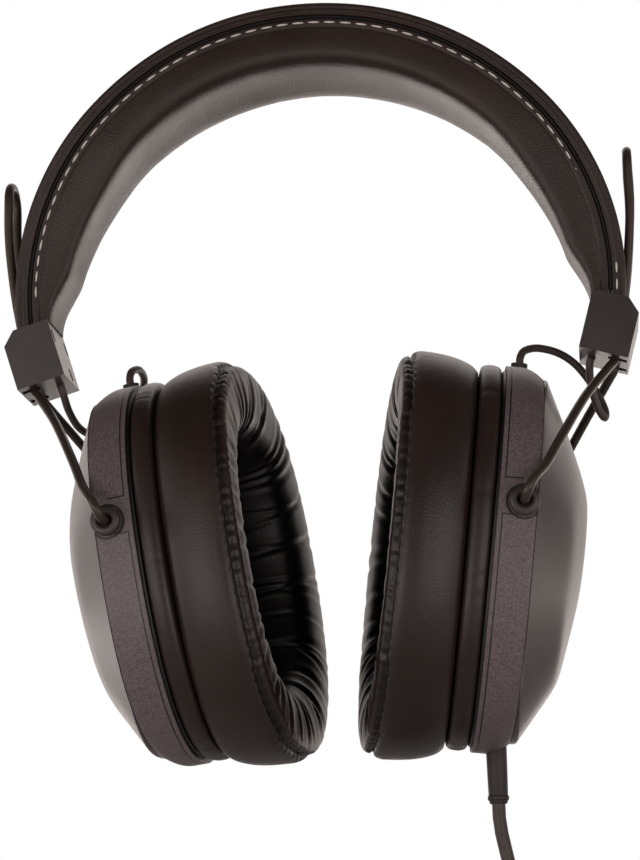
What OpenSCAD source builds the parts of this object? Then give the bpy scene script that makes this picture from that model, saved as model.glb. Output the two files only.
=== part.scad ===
// Over ear studio headphones: a padded leather headband on a spring strip, two wire yokes that
// slide in plastic blocks, and two oval closed cups with angled leather pads.
// The wearer faces -Y, +X is the wearer's left and +Z is up. The origin is at the lowest point of
// the headband's underside, where it rests on a head or a stand. Lengths are in millimetres.

/* [Headband] */
// Radius of the outer face over the crown
crown_r = 81; // [78:1:84]
// Radius of the outer face down each side
side_r = 69; // [67:1:71]
// Angle from the crown at which the radius changes
turn_a = 47; // [44:1:50]
// Thickness of the band at the crown
band_t = 15.5; // [14:0.5:17]
// Thickness of the band where it enters the blocks
band_end_t = 11; // [10:0.5:12]
// Width of the band at the crown, front to back
band_w = 35; // [30:1:38]
// Width of the band where it enters the blocks
band_end_w = 20; // [18:1:21]
// Thickness of the outer leather cover
cover_t = 3.4; // [2:0.2:4]
// Width of the steel strip inside the band
strip_w = 11; // [8:1:11]

/* [Slider blocks] */
// Thickness of a block, from head side to outside
block_t = 12.6; // [12.4:0.1:13]
// Length of a block along the band
block_l = 15.2; // [14:0.2:16]
// Depth of a block, front to back
block_w = 22; // [21:0.5:24]
// Lean of a block from the vertical, bottom inward
block_lean = 16; // [14:1:18]

/* [Yoke wires] */
// Diameter of the yoke wire
wire_d = 2.3; // [2:0.1:2.4]
// Distance between the two legs where they pass the block
leg_gap = 11.4; // [10.5:0.2:12]
// How far a yoke slides down out of its block
slide_travel = 24; // [15:1:24]
// Lean of the slide from the vertical, bottom inward
slide_lean = 6; // [5:0.5:6]

/* [Cups] */
// Height of a cup's housing
cup_h = 96.8; // [94:0.2:98]
// Depth of a cup's housing, front to back
cup_w = 79; // [76:0.5:80]
// How far a cup leans at rest, bottom inward
cup_lean = 7.5; // [5:0.5:7.5]
// How far a cup is turned at rest, its front edge outward
cup_yaw = 5; // [3:0.5:6]
// How far a cup can tilt outward at its bottom, from rest
tilt_travel = 18; // [10:1:20]
// Wall thickness of the cup mouldings
wall = 2; // [1.6:0.1:2.4]
// Diameter of the sound driver
driver_d = 40; // [36:1:42]

/* [Ear pads] */
// Height of a pad
pad_h = 103.5; // [100:0.5:105]
// Depth of a pad, front to back
pad_w = 82.5; // [80:0.5:84]
// Width of the padded ring
pad_ring = 20; // [18:0.5:22]
// Thickness of a pad at its middle
pad_t = 20.5; // [19:0.5:21]
// Wedge angle of a pad, thicker at the back
pad_wedge = 4; // [3:0.5:4.5]

/* [Cord] */
// Diameter of the cord
cord_d = 3.4; // [3:0.1:3.6]
// Step between the turns, and between the four layers, of the wound cord
coil_step = 4.05; // [3.9:0.05:4.2]
// Turns of the wound cord
coil_turns = 22.25; // [18.25:1:22.25]
// Radius of the innermost turn
coil_in_r = 9.8; // [9:0.2:11]

/* [Hidden] */

// Band: the crown arc and the side arcs share a tangent at turn_a.
crown_cz = band_t - crown_r;
side_cx = (crown_r - side_r) * sin(turn_a);
side_cz = crown_cz + (crown_r - side_r) * cos(turn_a);
band_end_a = 94;
band_cut_a = 97;
strip_end_a = 99;
band_steps = 32;
welt_t = 1;
welt_in = 1.2;
strip_t = 0.6;
lead_w = 1.4;
dish_x = 75.2;
dish_w = 14.8;

// Blocks: a block's middle sits on the band's end.
block_x = 73.2;
block_z = -71.2;
block_cut = 3.4;
channel_gap = 0.35;
parting_x = -0.5;
strip_pocket_x = -3.1;
grip_x0 = 1.2;
grip_t = 3;
grip_w = 8.4;
grip_l = 8;
screw_spots = [[2.6, -5], [-8.8, 3.5], [8.8, 3.5]];
strip_pocket_z = 2.5;
strip_pocket_w = 16;
channel = [[-0.1, 9], [3.5, 9], [6.15, -9], [1.3, -9]];
screw_d = 1.8;
screw_head_d = 3.4;
link_x = -3.2;

// Yoke: the leg from the top of the hairpin down through the block to the cup's pivot.
pivot_x = 46.9;
pivot_z = -119.5;
pin_in_y = 38.4;
leg_y = leg_gap / 2;
wire_n = 10;
elbow_y = 42.6;
leg_free_z = -82.2;
leg_low = [
    [46.9, 42.6, -119.5], [46.9, 43.6, -119.5], [46.95, 44.9, -119.2], [47.4, 46, -118.2], [48.3, 46.2, -116.7],
    [49.8, 45, -114.6], [53.4, 40, -110.6], [58.2, 31.6, -103], [65.6, 19.2, -91], [72, 8.4, -82.2]
];
hairpin = [[74, -79], [75.6, -71], [77, -63], [78.3, -55], [79.3, -46], [79.8, -38], [79.7, -30]];
hairpin_top = [79.7, 0, -30];

// Cup, in its own frame: the pivots' line is Y, +X is outward, the cup's middle is at cup_mid_z.
cup_mid_z = -9;
oval_n = 60;
rim_out_x = 3.5;
cover_shoulder = [13.6, -10.5, 30, 25];
cover_middle = [17.5, -5, 14, 12];
rim_in_x = -5;
trim_x = -6.8;
gap_x = -7.5;
roll_x = -12.5;
roll_t = 2;
pad_x = -13;
pad_n = 44;
pad_shape = [[0.07, 0], [0, 0.3], [0, 0.62], [0.05, 0.84], [0.2, 0.97], [0.45, 1], [0.75, 0.93], [0.97, 0.72], [1, 0]];
baffle_x = -12.6;
baffle_back_x = -10.1;
boss_spots = [[29, 20], [-29, 20], [29, -20], [-29, -20]];
boss_top_x = 6.5;
boss_d = 5.4;
boss_hole_l = 7;
cup_screw_d = 2.2;
cup_screw_head_d = 4.2;
baffle_h = 91.6;
baffle_w = 73.8;
frame_d = driver_d + 4;
magnet_d = 22;
pole_d = 16;
coil_d = 13;
grille_x = -13.3;
hole_d = 2.4;
hole_step = 4.4;
cloth_x = -14.2;
bush_d = 7.6;
bush_shank_d = 4.6;
bush_out_y = 42.4;
bush_in_y = 36.5;
bush_seat_y = 39.6;
pin_gap = 0.05;
fit_gap = 0.1;
link_d = 2;
link_route_left = [
    [68, 0, -77.6], [67.5, 0.4, -79.4], [67.6, 2, -84], [69, 4, -89.5], [70.6, 6, -92], [70.8, 8, -89.5],
    [68.5, 8.5, -84], [64.5, 8, -78], [60, 6.8, -74.6], [54.8, 4.4, -73.4], [51.3, 1.8, -74.4],
    [50.1, 0.5, -76.4], [49.9, 0.27, -78.2], [49.7, 0.25, -79.4]
];
link_route_right = [
    [68, 0, -77.6], [67.5, 0.4, -79.4], [66.4, 3, -84], [64.6, 8.5, -87.4], [61.6, 14.5, -88], [57.6, 19.5, -84.8],
    [53.4, 20, -80.6], [49.8, 17, -77], [48.1, 11.5, -74.5], [48.4, 5.5, -73.3], [49.7, 1.7, -74.4],
    [50.1, 0.5, -76.4], [49.9, 0.27, -78.2], [49.7, 0.25, -79.4]
];
grommet_x = -2.5;
grommet_z = 39.8;
grommet_d = 4.2;
grommet_shank_d = 3;

// Cord: it hangs from the boot under the left cup, and its stored length hangs below as one coil.
boot_x = 0.2;
boot_end = [39.6, -0.64, -188.7];
boot_len = 11.8;
boot_shank_d = 3;
lead_route = [
    [39.6, -0.64, -188.7], [39.6, -0.64, -192], [40, -0.5, -195.8], [40.8, -0.25, -200], [41.6, -0.05, -204],
    [41.8, 0, -207], [41, 0, -210.4], [38.8, 0, -213.6], [35.6, 0, -215.6], [32, 0, -216.4], [28.4, 0, -216.4]
];
coil_x = 25;
coil_top_z = -216.4;
ring_n = 24;
coil_out_r = coil_in_r + coil_step * coil_turns / 4;
coil_z = coil_top_z - coil_out_r;
coil_back_y = 3 * coil_step;
tie_w = 6;
tie_t = 1;
tie_gap = 1;
tail_len = 22;
plug_d = 9;
plug_boot_len = 13;
plug_len = 22;
jack_d = 3.5;
jack_len = 14;

// ---- Shared shapes ----

// Draws its children on the wearer's left, or mirrored on the right.
module on_side(side) {
    if (side > 0) children();
    else mirror([1, 0, 0]) children();
}

// Moves from a cup's own frame to its place at rest.
module cup_place(side) {
    on_side(side) translate([pivot_x, 0, pivot_z]) rotate([0, cup_lean, cup_yaw]) children();
}

function mirror_y(p) = [p[0], -p[1], p[2]];

// A pair of triangles for each cell between ring i and the next, n points to a ring.
function band_faces(i, j, n) = [
    for (k = [0 : n - 1]) let (m = (k + 1) % n)
        each [[i * n + k, i * n + m, j * n + k], [i * n + m, j * n + m, j * n + k]]
];

// A closed skin over rings of equal point counts; joined makes the last ring meet the first.
module skin(rings, joined = false) {
    n = len(rings[0]);
    last = len(rings) - 1;
    sides = [for (i = [0 : last - 1]) each band_faces(i, i + 1, n)];
    ends = joined ? band_faces(last, 0, n) : concat(
        [for (k = [1 : n - 2]) [0, k + 1, k]],
        [for (k = [1 : n - 2]) [last * n, last * n + k, last * n + k + 1]]
    );
    polyhedron(points = [for (r = rings) each r], faces = concat(sides, ends), convexity = 10);
}

function unit(v) = v / norm(v);

// Direction of a route at point i.
function heading(p, i) = unit(p[min(i + 1, len(p) - 1)] - p[max(i - 1, 0)]);

// Sideways vectors along a route, each turned as little as possible from the one before.
function side_vectors(p, i, v) = i >= len(p) ? [] :
    let (t = heading(p, i), s = unit(v - (v * t) * t)) concat([s], side_vectors(p, i + 1, s));

// Rings of a round tube of diameter d along route p, with n sides; v is any vector across its start.
function tube_rings(p, d, n, v = [0.02, 1, 0.01]) = let (s = side_vectors(p, 0, v)) [
    for (i = [0 : len(p) - 1]) let (t = heading(p, i), b = cross(s[i], t))
        [for (k = [0 : n - 1]) p[i] + d / 2 * (cos(360 * k / n) * s[i] + sin(360 * k / n) * b)]
];

// A point on a smooth curve through four neighbours, at fraction f between the middle two.
function curve_at(a, b, c, d, f) = 0.5 * (2 * b + (c - a) * f + (2 * a - 5 * b + 4 * c - d) * f * f
    + (3 * b - a - 3 * c + d) * f * f * f);

// A route smoothed with m steps between its points.
function smooth(p, m) = concat([
    for (i = [0 : len(p) - 2]) each [for (k = [0 : m - 1])
        curve_at(p[max(i - 1, 0)], p[i], p[i + 1], p[min(i + 2, len(p) - 1)], k / m)]
], [p[len(p) - 1]]);

// An oval outline with half height a and half depth b about z0; power 2.3 squares it slightly.
function oval_pt(a, b, z0, t, e = 2 / 2.3) =
    [sign(sin(t)) * pow(abs(sin(t)), e) * b, z0 + sign(cos(t)) * pow(abs(cos(t)), e) * a];

// A flat oval plate across the cup's X direction, from x0 to x1.
module oval_plate(x0, x1, a, b, z0 = cup_mid_z) {
    translate([x0, 0, 0]) rotate([90, 0, 90]) linear_extrude(x1 - x0)
        polygon([for (i = [0 : oval_n - 1]) oval_pt(a, b, z0, 360 * i / oval_n)]);
}

// An oval ring with the given wall.
module oval_ring(x0, x1, a, b, w) {
    difference() {
        oval_plate(x0, x1, a, b);
        oval_plate(x0 - 1, x1 + 1, a - w, b - w);
    }
}

// A round part along the cup's X direction, about the driver's axis.
module driver_round(x0, x1, d) {
    translate([x0, 0, cup_mid_z]) rotate([0, 90, 0]) cylinder(h = x1 - x0, d = d, $fn = 64);
}

// ---- Headband ----

// A point of the band: a is the angle from the crown, in is the depth under the outer face.
function band_pt(a, y, in) = abs(a) <= turn_a
    ? [(crown_r - in) * sin(a), y, crown_cz + (crown_r - in) * cos(a)]
    : [sign(a) * side_cx + (side_r - in) * sin(a), y, side_cz + (side_r - in) * cos(a)];

// 0 over the crown, rising smoothly to 1 at the ends.
function taper(a, from) = let (f = min(1, max(0, (abs(a) - from) / (band_end_a - from)))) f * f * (3 - 2 * f);
function half_w(a) = (band_w + (band_end_w - band_w) * taper(a, 10)) / 2;
function full_t(a) = band_t + (band_end_t - band_t) * taper(a, 50);

// The space that one block takes up.
module block_space(side) {
    block_place(side) cube([block_t, block_w, block_l], center = true);
}

// A strip swept along the band and cut off square by the blocks; each profile is a ring of
// [share of half width, depth] pairs.
module band_sweep(profiles) {
    difference() {
        skin([for (i = [0 : band_steps]) let (a = band_cut_a * (2 * i / band_steps - 1))
            [for (q = profiles[i]) band_pt(a, q[0] * half_w(a), q[1])]]);
        for (s = [-1, 1]) block_space(s);
    }
}

// The soft cushion under the band: a straight welt edge, full sides and a crowned underside.
module headband_cushion() {
    lip = cover_t + welt_t;
    color("#342c2a") band_sweep([for (i = [0 : band_steps])
        let (a = band_cut_a * (2 * i / band_steps - 1), t = full_t(a) - lip)
            [[0.9, lip], [0.98, lip + 0.16 * t], [1, lip + 0.5 * t], [0.94, lip + 0.8 * t],
             [0.72, lip + 0.95 * t], [0.3, lip + t], [-0.3, lip + t], [-0.72, lip + 0.95 * t],
             [-0.94, lip + 0.8 * t], [-1, lip + 0.5 * t], [-0.98, lip + 0.16 * t], [-0.9, lip]]]);
}

// The flat leather cover on the outside of the band, dished at each side behind the hairpin.
module headband_cover() {
    color("#3e362e") difference() {
        band_sweep([for (i = [0 : band_steps])
            [[0.9, 0.3], [0.98, 1.1], [0.96, cover_t], [-0.96, cover_t], [-0.98, 1.1], [-0.9, 0.3], [0, 0]]]);
        for (s = [-1, 1]) translate([s * (dish_x + 10), 0, -50]) cube([20, dish_w, 100], center = true);
    }
}

// The two dark welts sewn in between cover and cushion, beside the steel strip.
module headband_welt() {
    y0 = strip_w / 2 + 2 * fit_gap + lead_w + 0.3;
    for (s = [-1, 1]) color("#141010") band_sweep([for (i = [0 : band_steps])
        let (w = half_w(band_cut_a * (2 * i / band_steps - 1)), q0 = s * y0 / w, q1 = s * (w - welt_in) / w,
             lo = cover_t, hi = cover_t + welt_t)
            s > 0 ? [[q1, lo], [q1, hi], [q0, hi], [q0, lo]] : [[q0, lo], [q0, hi], [q1, hi], [q1, lo]]]);
}

// A flat strip in the middle of the welt's layer, from y0 to y1, whose ends reach into the blocks.
module band_strip(y0, y1) {
    in0 = cover_t + (welt_t - strip_t) / 2;
    in1 = in0 + strip_t;
    turns = concat([-strip_end_a], [for (i = [0 : band_steps]) band_cut_a * (2 * i / band_steps - 1)], [strip_end_a]);
    skin([for (a = turns) [band_pt(a, y1, in0), band_pt(a, y1, in1), band_pt(a, y0, in1), band_pt(a, y0, in0)]]);
}

// The spring steel strip that gives the band its grip; its ends reach into the blocks.
module spring_strip() {
    color("#8a8c90") band_strip(-strip_w / 2, strip_w / 2);
}

// The flat lead beside the strip, which carries the sound to the right cup.
module headband_wire() {
    color("#202020") band_strip(strip_w / 2 + fit_gap, strip_w / 2 + fit_gap + lead_w);
}

// ---- Slider blocks ----

// Moves from a block's own frame, +X outward and +Z up along the band, to its place.
module block_place(side) {
    on_side(side) translate([block_x, 0, block_z]) rotate([0, block_lean, 0]) children();
}

// The block's outline, with its outer top corner cut off, between two planes across X.
module block_body(x0, x1) {
    t = block_t / 2;
    l = block_l / 2;
    rotate([90, 0, 0]) translate([0, 0, -block_w / 2]) linear_extrude(block_w) intersection() {
        polygon([[-t, -l], [t, -l], [t, l - block_cut], [t - block_cut, l], [-t, l]]);
        translate([x0, -l - 1]) square([x1 - x0, block_l + 2]);
    }
}

// The two slots that a yoke's legs slide in; they lean, because the legs are bowed.
module leg_channels() {
    w = wire_d + 2 * channel_gap;
    for (s = [-1, 1]) translate([0, s * leg_y + w / 2, 0]) rotate([90, 0, 0]) linear_extrude(w)
        polygon(channel);
}

// The outer half of a block, with the leg channels and a pocket for the rubber grip.
module block_outer(side) {
    color("#3c3432") block_place(side) difference() {
        block_body(parting_x, block_t);
        leg_channels();
        translate([grip_x0, -grip_w / 2, -grip_l / 2]) cube([grip_t, grip_w, grip_l]);
        for (q = screw_spots) translate([-block_t / 2, q[0], q[1]]) rotate([0, 90, 0])
            cylinder(h = block_t / 2 + 3.5, d = screw_d, $fn = 24);
    }
}

// The inner half of a block, with a pocket for the band's strip and sunk screw seats.
module block_inner(side) {
    color("#46403c") block_place(side) difference() {
        block_body(-block_t, parting_x);
        translate([strip_pocket_x, -strip_pocket_w / 2, strip_pocket_z])
            cube([parting_x - strip_pocket_x + 1, strip_pocket_w, block_l]);
        for (q = screw_spots) translate([-block_t / 2, q[0], q[1]]) rotate([0, 90, 0]) {
            translate([0, 0, -1]) cylinder(h = block_t, d = screw_d, $fn = 24);
            translate([0, 0, -1]) cylinder(h = 2.2, d = screw_head_d + 0.2, $fn = 32);
        }
        translate([link_x, 0, -block_l]) cylinder(h = block_l, d = link_d + 0.2, $fn = 24);
    }
}

// The screws that hold a block's halves together, sunk in its head side.
module block_screws(side) {
    color("#b8b8b8") block_place(side) for (q = screw_spots)
        translate([-block_t / 2 + 0.2, q[0], q[1]]) rotate([0, 90, 0]) difference() {
            union() {
                cylinder(h = 1, d = screw_head_d, $fn = 32);
                cylinder(h = block_t / 2 + 3, d = screw_d, $fn = 24);
            }
            for (a = [0, 90]) rotate([0, 0, a]) translate([-1, -0.2, -1]) cube([2, 0.4, 1.4]);
        }
}

// The rubber grip between a yoke's legs, whose squeeze holds the yoke where it is set.
module block_grip(side) {
    color("#1c1a1a") block_place(side)
        translate([grip_x0, -grip_w / 2, -grip_l / 2]) cube([grip_t, grip_w, grip_l]);
}

// ---- Yokes ----

// The middle of one leg's wire, from the pivot's elbow up to where the hairpin's bend starts.
leg_line = concat(leg_low, [for (q = hairpin) [q[0], leg_y, q[1]]]);
bend_line = [for (a = [30 : 30 : 150]) hairpin_top + leg_y * [0, cos(a), sin(a)]];

// Turns a point about the pivots' upright: by the cup's own turn at the pivots, by none at the block.
function leg_turn(p) =
    let (a = cup_yaw * max(0, (leg_free_z - p[2]) / (leg_free_z - pivot_z)), x = p[0] - pivot_x)
    [pivot_x + x * cos(a) - p[1] * sin(a), x * sin(a) + p[1] * cos(a), p[2]];
wire_line = concat([for (q = leg_line) leg_turn(q)], bend_line,
    [for (i = [len(leg_line) - 1 : -1 : 0]) leg_turn(mirror_y(leg_line[i]))]);

// One bent steel wire: a hairpin standing over the block, two splayed legs and two pivot ends.
module yoke_wire(side) {
    color("#4b443a") on_side(side) union() {
        skin(tube_rings(smooth(wire_line, 2), wire_d / cos(180 / wire_n) + 0.03, wire_n, [1, 0.1, 0]));
        for (s = [-1, 1]) translate([pivot_x, 0, pivot_z]) rotate([-s * 90, 0, cup_yaw]) translate([0, 0, pin_in_y])
            cylinder(h = elbow_y + 0.4 - pin_in_y, d = wire_d, $fn = 48);
    }
}

// ---- Cups ----

// A thin oval plate, [x, middle z, half height, half depth], moved in by t all round.
module cover_plate(r, n, t) {
    translate([r[0] - t - 0.2, 0, 0]) rotate([90, 0, 90]) linear_extrude(0.2)
        polygon([for (i = [0 : n - 1]) oval_pt(r[2] - t, r[3] - t, r[1], 360 * (i + 0.5) / n)]);
}

// The cover's skin, moved in by t all round: a small flat middle with sloped facets to the rim.
module cover_form(t) {
    hull() {
        cover_plate([rim_out_x, cup_mid_z, cup_h / 2, cup_w / 2], oval_n, t);
        cover_plate(cover_shoulder, 12, t);
        cover_plate(cover_middle, 8, t);
    }
}

// The moulded outer cover of a cup, with four screw bosses that reach back to the baffle.
module cup_cover(side) {
    color("#6a6260") cup_place(side) difference() {
        union() {
            difference() {
                cover_form(0);
                cover_form(wall);
                oval_plate(rim_out_x - 8, rim_out_x - 0.2, cup_h, cup_w);
            }
            for (q = boss_spots) translate([baffle_back_x, q[1], cup_mid_z + q[0]]) rotate([0, 90, 0])
                cylinder(h = boss_top_x - baffle_back_x, d = boss_d, $fn = 32);
        }
        for (q = boss_spots) translate([baffle_back_x - 1, q[1], cup_mid_z + q[0]]) rotate([0, 90, 0])
            cylinder(h = boss_hole_l + 1, d = cup_screw_d, $fn = 32);
    }
}

// The housing ring that carries the pivot bushes and, on the left, the cord.
module cup_rim(side) {
    h = rim_out_x - 0.2;
    color("#463e42") cup_place(side) difference() {
        union() {
            oval_ring(rim_in_x, h, cup_h / 2, cup_w / 2, wall);
            for (s = [-1, 1]) rotate([-s * 90, 0, 0]) translate([0, 0, 34.5])
                intersection() {
                    cylinder(h = 4.5, d = 7.8, $fn = 48);
                    translate([rim_in_x, -6, -1]) cube([h - rim_in_x, 12, 8]);
                }
            if (side > 0) translate([boot_x, 0, cup_mid_z - cup_h / 2 + 0.6]) cylinder(h = 5, d = 4.6, $fn = 40);
        }
        rotate([90, 0, 0]) translate([0, 0, -60]) cylinder(h = 120, d = bush_shank_d, $fn = 48);
        translate([grommet_x, 0, 30]) cylinder(h = 20, d = grommet_shank_d, $fn = 40);
        if (side > 0) translate([boot_x, 0, cup_mid_z - cup_h / 2 - 1]) cylinder(h = 9, d = boot_shank_d, $fn = 40);
    }
}

// The thin smooth ring between the housing and the pad.
module trim_ring(side) {
    color("#2a2626") cup_place(side) oval_ring(trim_x, rim_in_x, cup_h / 2 - 0.8, cup_w / 2 - 0.8, 3);
}

// The two flanged bushes that a yoke's ends turn in.
module pivot_bushes(side) {
    color("#3a3638") cup_place(side) for (s = [-1, 1]) rotate([-s * 90, 0, 0]) difference() {
        union() {
            translate([0, 0, bush_in_y]) cylinder(h = bush_out_y - bush_in_y, d = bush_shank_d, $fn = 48);
            translate([0, 0, bush_seat_y]) cylinder(h = bush_out_y - bush_seat_y, d = bush_d, $fn = 48);
        }
        cylinder(h = 60, d = wire_d + 2 * pin_gap, $fn = 48);
    }
}

// The plate that holds the driver and carries the pad.
module baffle(side) {
    color("#1e1c1c") cup_place(side) difference() {
        union() {
            oval_plate(baffle_x, trim_x, baffle_h / 2, baffle_w / 2);
            oval_plate(trim_x, rim_in_x, cup_h / 2 - 4, cup_w / 2 - 4);
        }
        oval_plate(baffle_back_x, 0, baffle_h / 2 - 3.5, baffle_w / 2 - 3.5);
        driver_round(baffle_x - 1, 0, frame_d);
        for (q = boss_spots) translate([baffle_x - 1, q[1], cup_mid_z + q[0]]) rotate([0, 90, 0]) {
            cylinder(h = 2.2, d = cup_screw_head_d, $fn = 32);
            cylinder(h = 6, d = cup_screw_d, $fn = 32);
        }
    }
}

// The plastic basket of the sound driver, a rim with a cup behind it.
module driver_frame(side) {
    x = baffle_x;
    color("#2c2c2c") cup_place(side) difference() {
        union() {
            driver_round(x, x + 3, frame_d);
            driver_round(x + 3, x + 7, driver_d - 6);
        }
        driver_round(x - 1, x + 2, driver_d);
        driver_round(x + 1, x + 6, driver_d - 10);
        driver_round(x + 1, x + 9, pole_d);
    }
}

// The magnet and its steel yoke, behind the basket.
module driver_magnet(side) {
    x = baffle_x;
    color("#9a9aa0") cup_place(side) difference() {
        union() {
            driver_round(x + 4.2, x + 9.5, pole_d);
            driver_round(x + 7, x + 9.5, magnet_d);
        }
        difference() {
            driver_round(x + 4, x + 8, coil_d + 0.6);
            driver_round(x + 3, x + 9, coil_d - 1.4);
        }
    }
}

// The voice coil, which sits in the magnet's gap.
module voice_coil(side) {
    x = baffle_x;
    color("#b06a30") cup_place(side) difference() {
        driver_round(x + 2, x + 6, coil_d);
        driver_round(x + 1, x + 7, coil_d - 0.8);
    }
}

// The thin diaphragm across the driver, with its edge and middle domes.
module diaphragm(side) {
    x = baffle_x;
    color("#c8c0a8") cup_place(side) difference() {
        driver_round(x + 1.6, x + 2, driver_d - 0.4);
        driver_round(x + 1.4, x + 1.7, driver_d - 8);
    }
}

// The perforated grille over the driver, on the ear side.
module driver_grille(side) {
    color("#161616") cup_place(side) difference() {
        driver_round(grille_x, grille_x + 0.6, driver_d + 1);
        for (k = [1 : 4], j = [0 : 6 * k - 1]) translate([0, 0, cup_mid_z])
            rotate([360 * j / (6 * k), 0, 0]) translate([grille_x - 1, 0, hole_step * k])
                rotate([0, 90, 0]) cylinder(h = 3, d = hole_d, $fn = 16);
        driver_round(grille_x - 1, grille_x + 2, hole_d);
    }
}

// The thin damping cloth that closes the pad's opening in front of the grille.
module damping_cloth(side) {
    color("#101010") cup_place(side)
        oval_plate(cloth_x, grille_x - 0.1, pad_h / 2 - pad_ring - 0.6, pad_w / 2 - pad_ring - 0.6);
}

// The screws that go through the baffle into the cover's bosses, hidden under the pad.
module cup_screws(side) {
    color("#a0a0a0") cup_place(side) for (q = boss_spots)
        translate([baffle_x, q[1], cup_mid_z + q[0]]) rotate([0, 90, 0]) {
            cylinder(h = 1.2, d = cup_screw_head_d, $fn = 32);
            cylinder(h = 8, d = cup_screw_d, $fn = 32);
        }
}

// The narrow leather roll between the housing and the pad, part of the pad's skirt.
module pad_roll(side) {
    color("#3a3030") cup_place(side) {
        oval_ring(roll_x, gap_x, cup_h / 2 - 0.4, cup_w / 2 - 0.4, roll_t);
    }
}

// One cross-section of the pad at angle t: a full side, a crown and a lip turned into the hollow.
function pad_section(t) =
    let (rim = oval_pt(pad_h / 2, pad_w / 2, cup_mid_z, t), hole = oval_pt(pad_h / 2 - pad_ring, pad_w / 2 - pad_ring, cup_mid_z, t))
    [for (q = pad_shape) let (p = rim + (hole - rim) * q[0], h = pad_t + p[0] * tan(pad_wedge))
        [pad_x - h * q[1], p[0], p[1]]];

// The leather ear pad: an oval ring of soft foam, thicker at the back.
module ear_pad(side) {
    color("#3a3030") cup_place(side)
        skin([for (i = [0 : pad_n - 1]) pad_section(360 * (i + 0.5) / pad_n)], joined = true);
}

// The rubber grommet where the link cable goes into the top of the housing.
module link_grommet(side) {
    color("#1c1a1a") cup_place(side) translate([grommet_x, 0, grommet_z]) difference() {
        union() {
            cylinder(h = 1.6, d = grommet_d, $fn = 40);
            translate([0, 0, -3.2]) cylinder(h = 4, d = grommet_shank_d, $fn = 40);
        }
        translate([0, 0, -4]) cylinder(h = 8, d = link_d + 0.4, $fn = 24);
    }
}

// The thin cable that bridges block and cup.
module link_cable(side) {
    route = side > 0 ? link_route_left : link_route_right;
    color("#201e1e") on_side(side) skin(tube_rings(smooth(route, 3), link_d, 8));
}

// ---- Cord ----

// The strain relief under the left cup: a shank in the housing and a sleeve that hangs straight.
module cord_boot() {
    color("#505050") {
        translate(boot_end) cylinder(h = boot_len, d1 = 4.6, d2 = 5.2, $fn = 40);
        cup_place(1) translate([boot_x, 0, cup_mid_z - cup_h / 2 - 1]) cylinder(h = 5.2, d = boot_shank_d, $fn = 40);
    }
}

// The free stretch from the boot to the wound length.
module cord_lead() {
    color("#504a46") skin(tube_rings(lead_route, cord_d, 8));
}

// Share of the way through a climb from one layer to the next, at a given turn.
function climb(turn, k) = let (f = min(1, max(0, (turn - k * coil_turns / 4 + 0.25) / 0.5))) f * f * (3 - 2 * f);

// The middle of the wound cord at a given turn: it spirals in and out in four layers.
function coil_pt(turn) =
    let (leg = coil_turns / 4, n = floor(turn / leg), f = (turn - n * leg) * coil_step,
         r = n % 2 == 0 ? coil_out_r - f : coil_in_r + f, a = 90 + 360 * turn)
    [coil_x + r * cos(a), coil_step * (climb(turn, 1) + climb(turn, 2) + climb(turn, 3)), coil_z + r * sin(a)];

coil_last = floor(coil_turns * ring_n);
coil_path = concat([coil_pt(0) + [cord_d, 0, 0]], [for (i = [0 : coil_last]) coil_pt(i / ring_n)],
    [coil_pt(coil_last / ring_n) - [0, 0, cord_d]]);

// The rest of the cord's length, wound as one unbroken tube of four layers.
module cord_coil() {
    half = floor(ring_n / 2);
    gaps = [for (i = [0 : len(coil_path) - 1]) if (i + half < len(coil_path))
        min([for (j = [i + half : len(coil_path) - 1]) norm(coil_path[j] - coil_path[i])])];
    run = [for (i = [1 : len(coil_path) - 1]) norm(coil_path[i] - coil_path[i - 1])];
    echo(least_gap_of_wound_cord_to_itself = min(gaps) - cord_d);
    echo(length_of_wound_cord = run * [for (v = run) 1]);
    color("#504a46") skin(tube_rings(coil_path, cord_d, 6));
}

// The tie that holds the wound turns together.
module cord_tie() {
    x0 = coil_x + coil_in_r - cord_d / 2 - tie_gap;
    x1 = coil_x + coil_out_r + cord_d / 2 + tie_gap;
    y0 = -cord_d / 2 - tie_gap;
    y1 = coil_back_y + cord_d / 2 + tie_gap;
    color("#141414") translate([0, 0, coil_z - tie_w / 2]) linear_extrude(tie_w) difference() {
        translate([x0 - tie_t, y0 - tie_t]) square([x1 - x0 + 2 * tie_t, y1 - y0 + 2 * tie_t]);
        translate([x0, y0]) square([x1 - x0, y1 - y0]);
    }
}

// The end of the cord, hanging from the last turn to the plug.
module cord_tail() {
    p = coil_path[len(coil_path) - 1];
    color("#504a46") skin(tube_rings([for (k = [0 : 3]) p - [0, 0, tail_len * k / 3]], cord_d, 8));
}

// Moves to the plug's boot, pointing down.
module plug_place(down) {
    translate(coil_path[len(coil_path) - 1] - [0, 0, tail_len + down]) rotate([180, 0, 0]) children();
}

// The plug's strain relief.
module plug_boot() {
    color("#1c1a1a") plug_place(0) cylinder(h = plug_boot_len, d1 = 4.6, d2 = 6.4, $fn = 40);
}

// The plug's grip sleeve.
module plug_barrel() {
    color("#2a2828") plug_place(plug_boot_len) union() {
        cylinder(h = plug_len, d = plug_d, $fn = 48);
        translate([0, 0, plug_len]) cylinder(h = 0.8, d = 7, $fn = 48);
    }
}

// The 3.5 mm three-pole contact pin.
module plug_contact() {
    color("#c8a860") plug_place(plug_boot_len + plug_len + 0.8) union() {
        cylinder(h = jack_len - 3.4, d = jack_d, $fn = 48);
        translate([0, 0, jack_len - 3.4]) cylinder(h = 0.9, d1 = jack_d, d2 = 2.4, $fn = 48);
        translate([0, 0, jack_len - 2.5]) cylinder(h = 1, d1 = 2.4, d2 = 3.4, $fn = 48);
        translate([0, 0, jack_len - 1.5]) cylinder(h = 1.5, d1 = 3.4, d2 = 1.4, $fn = 48);
    }
}

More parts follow.
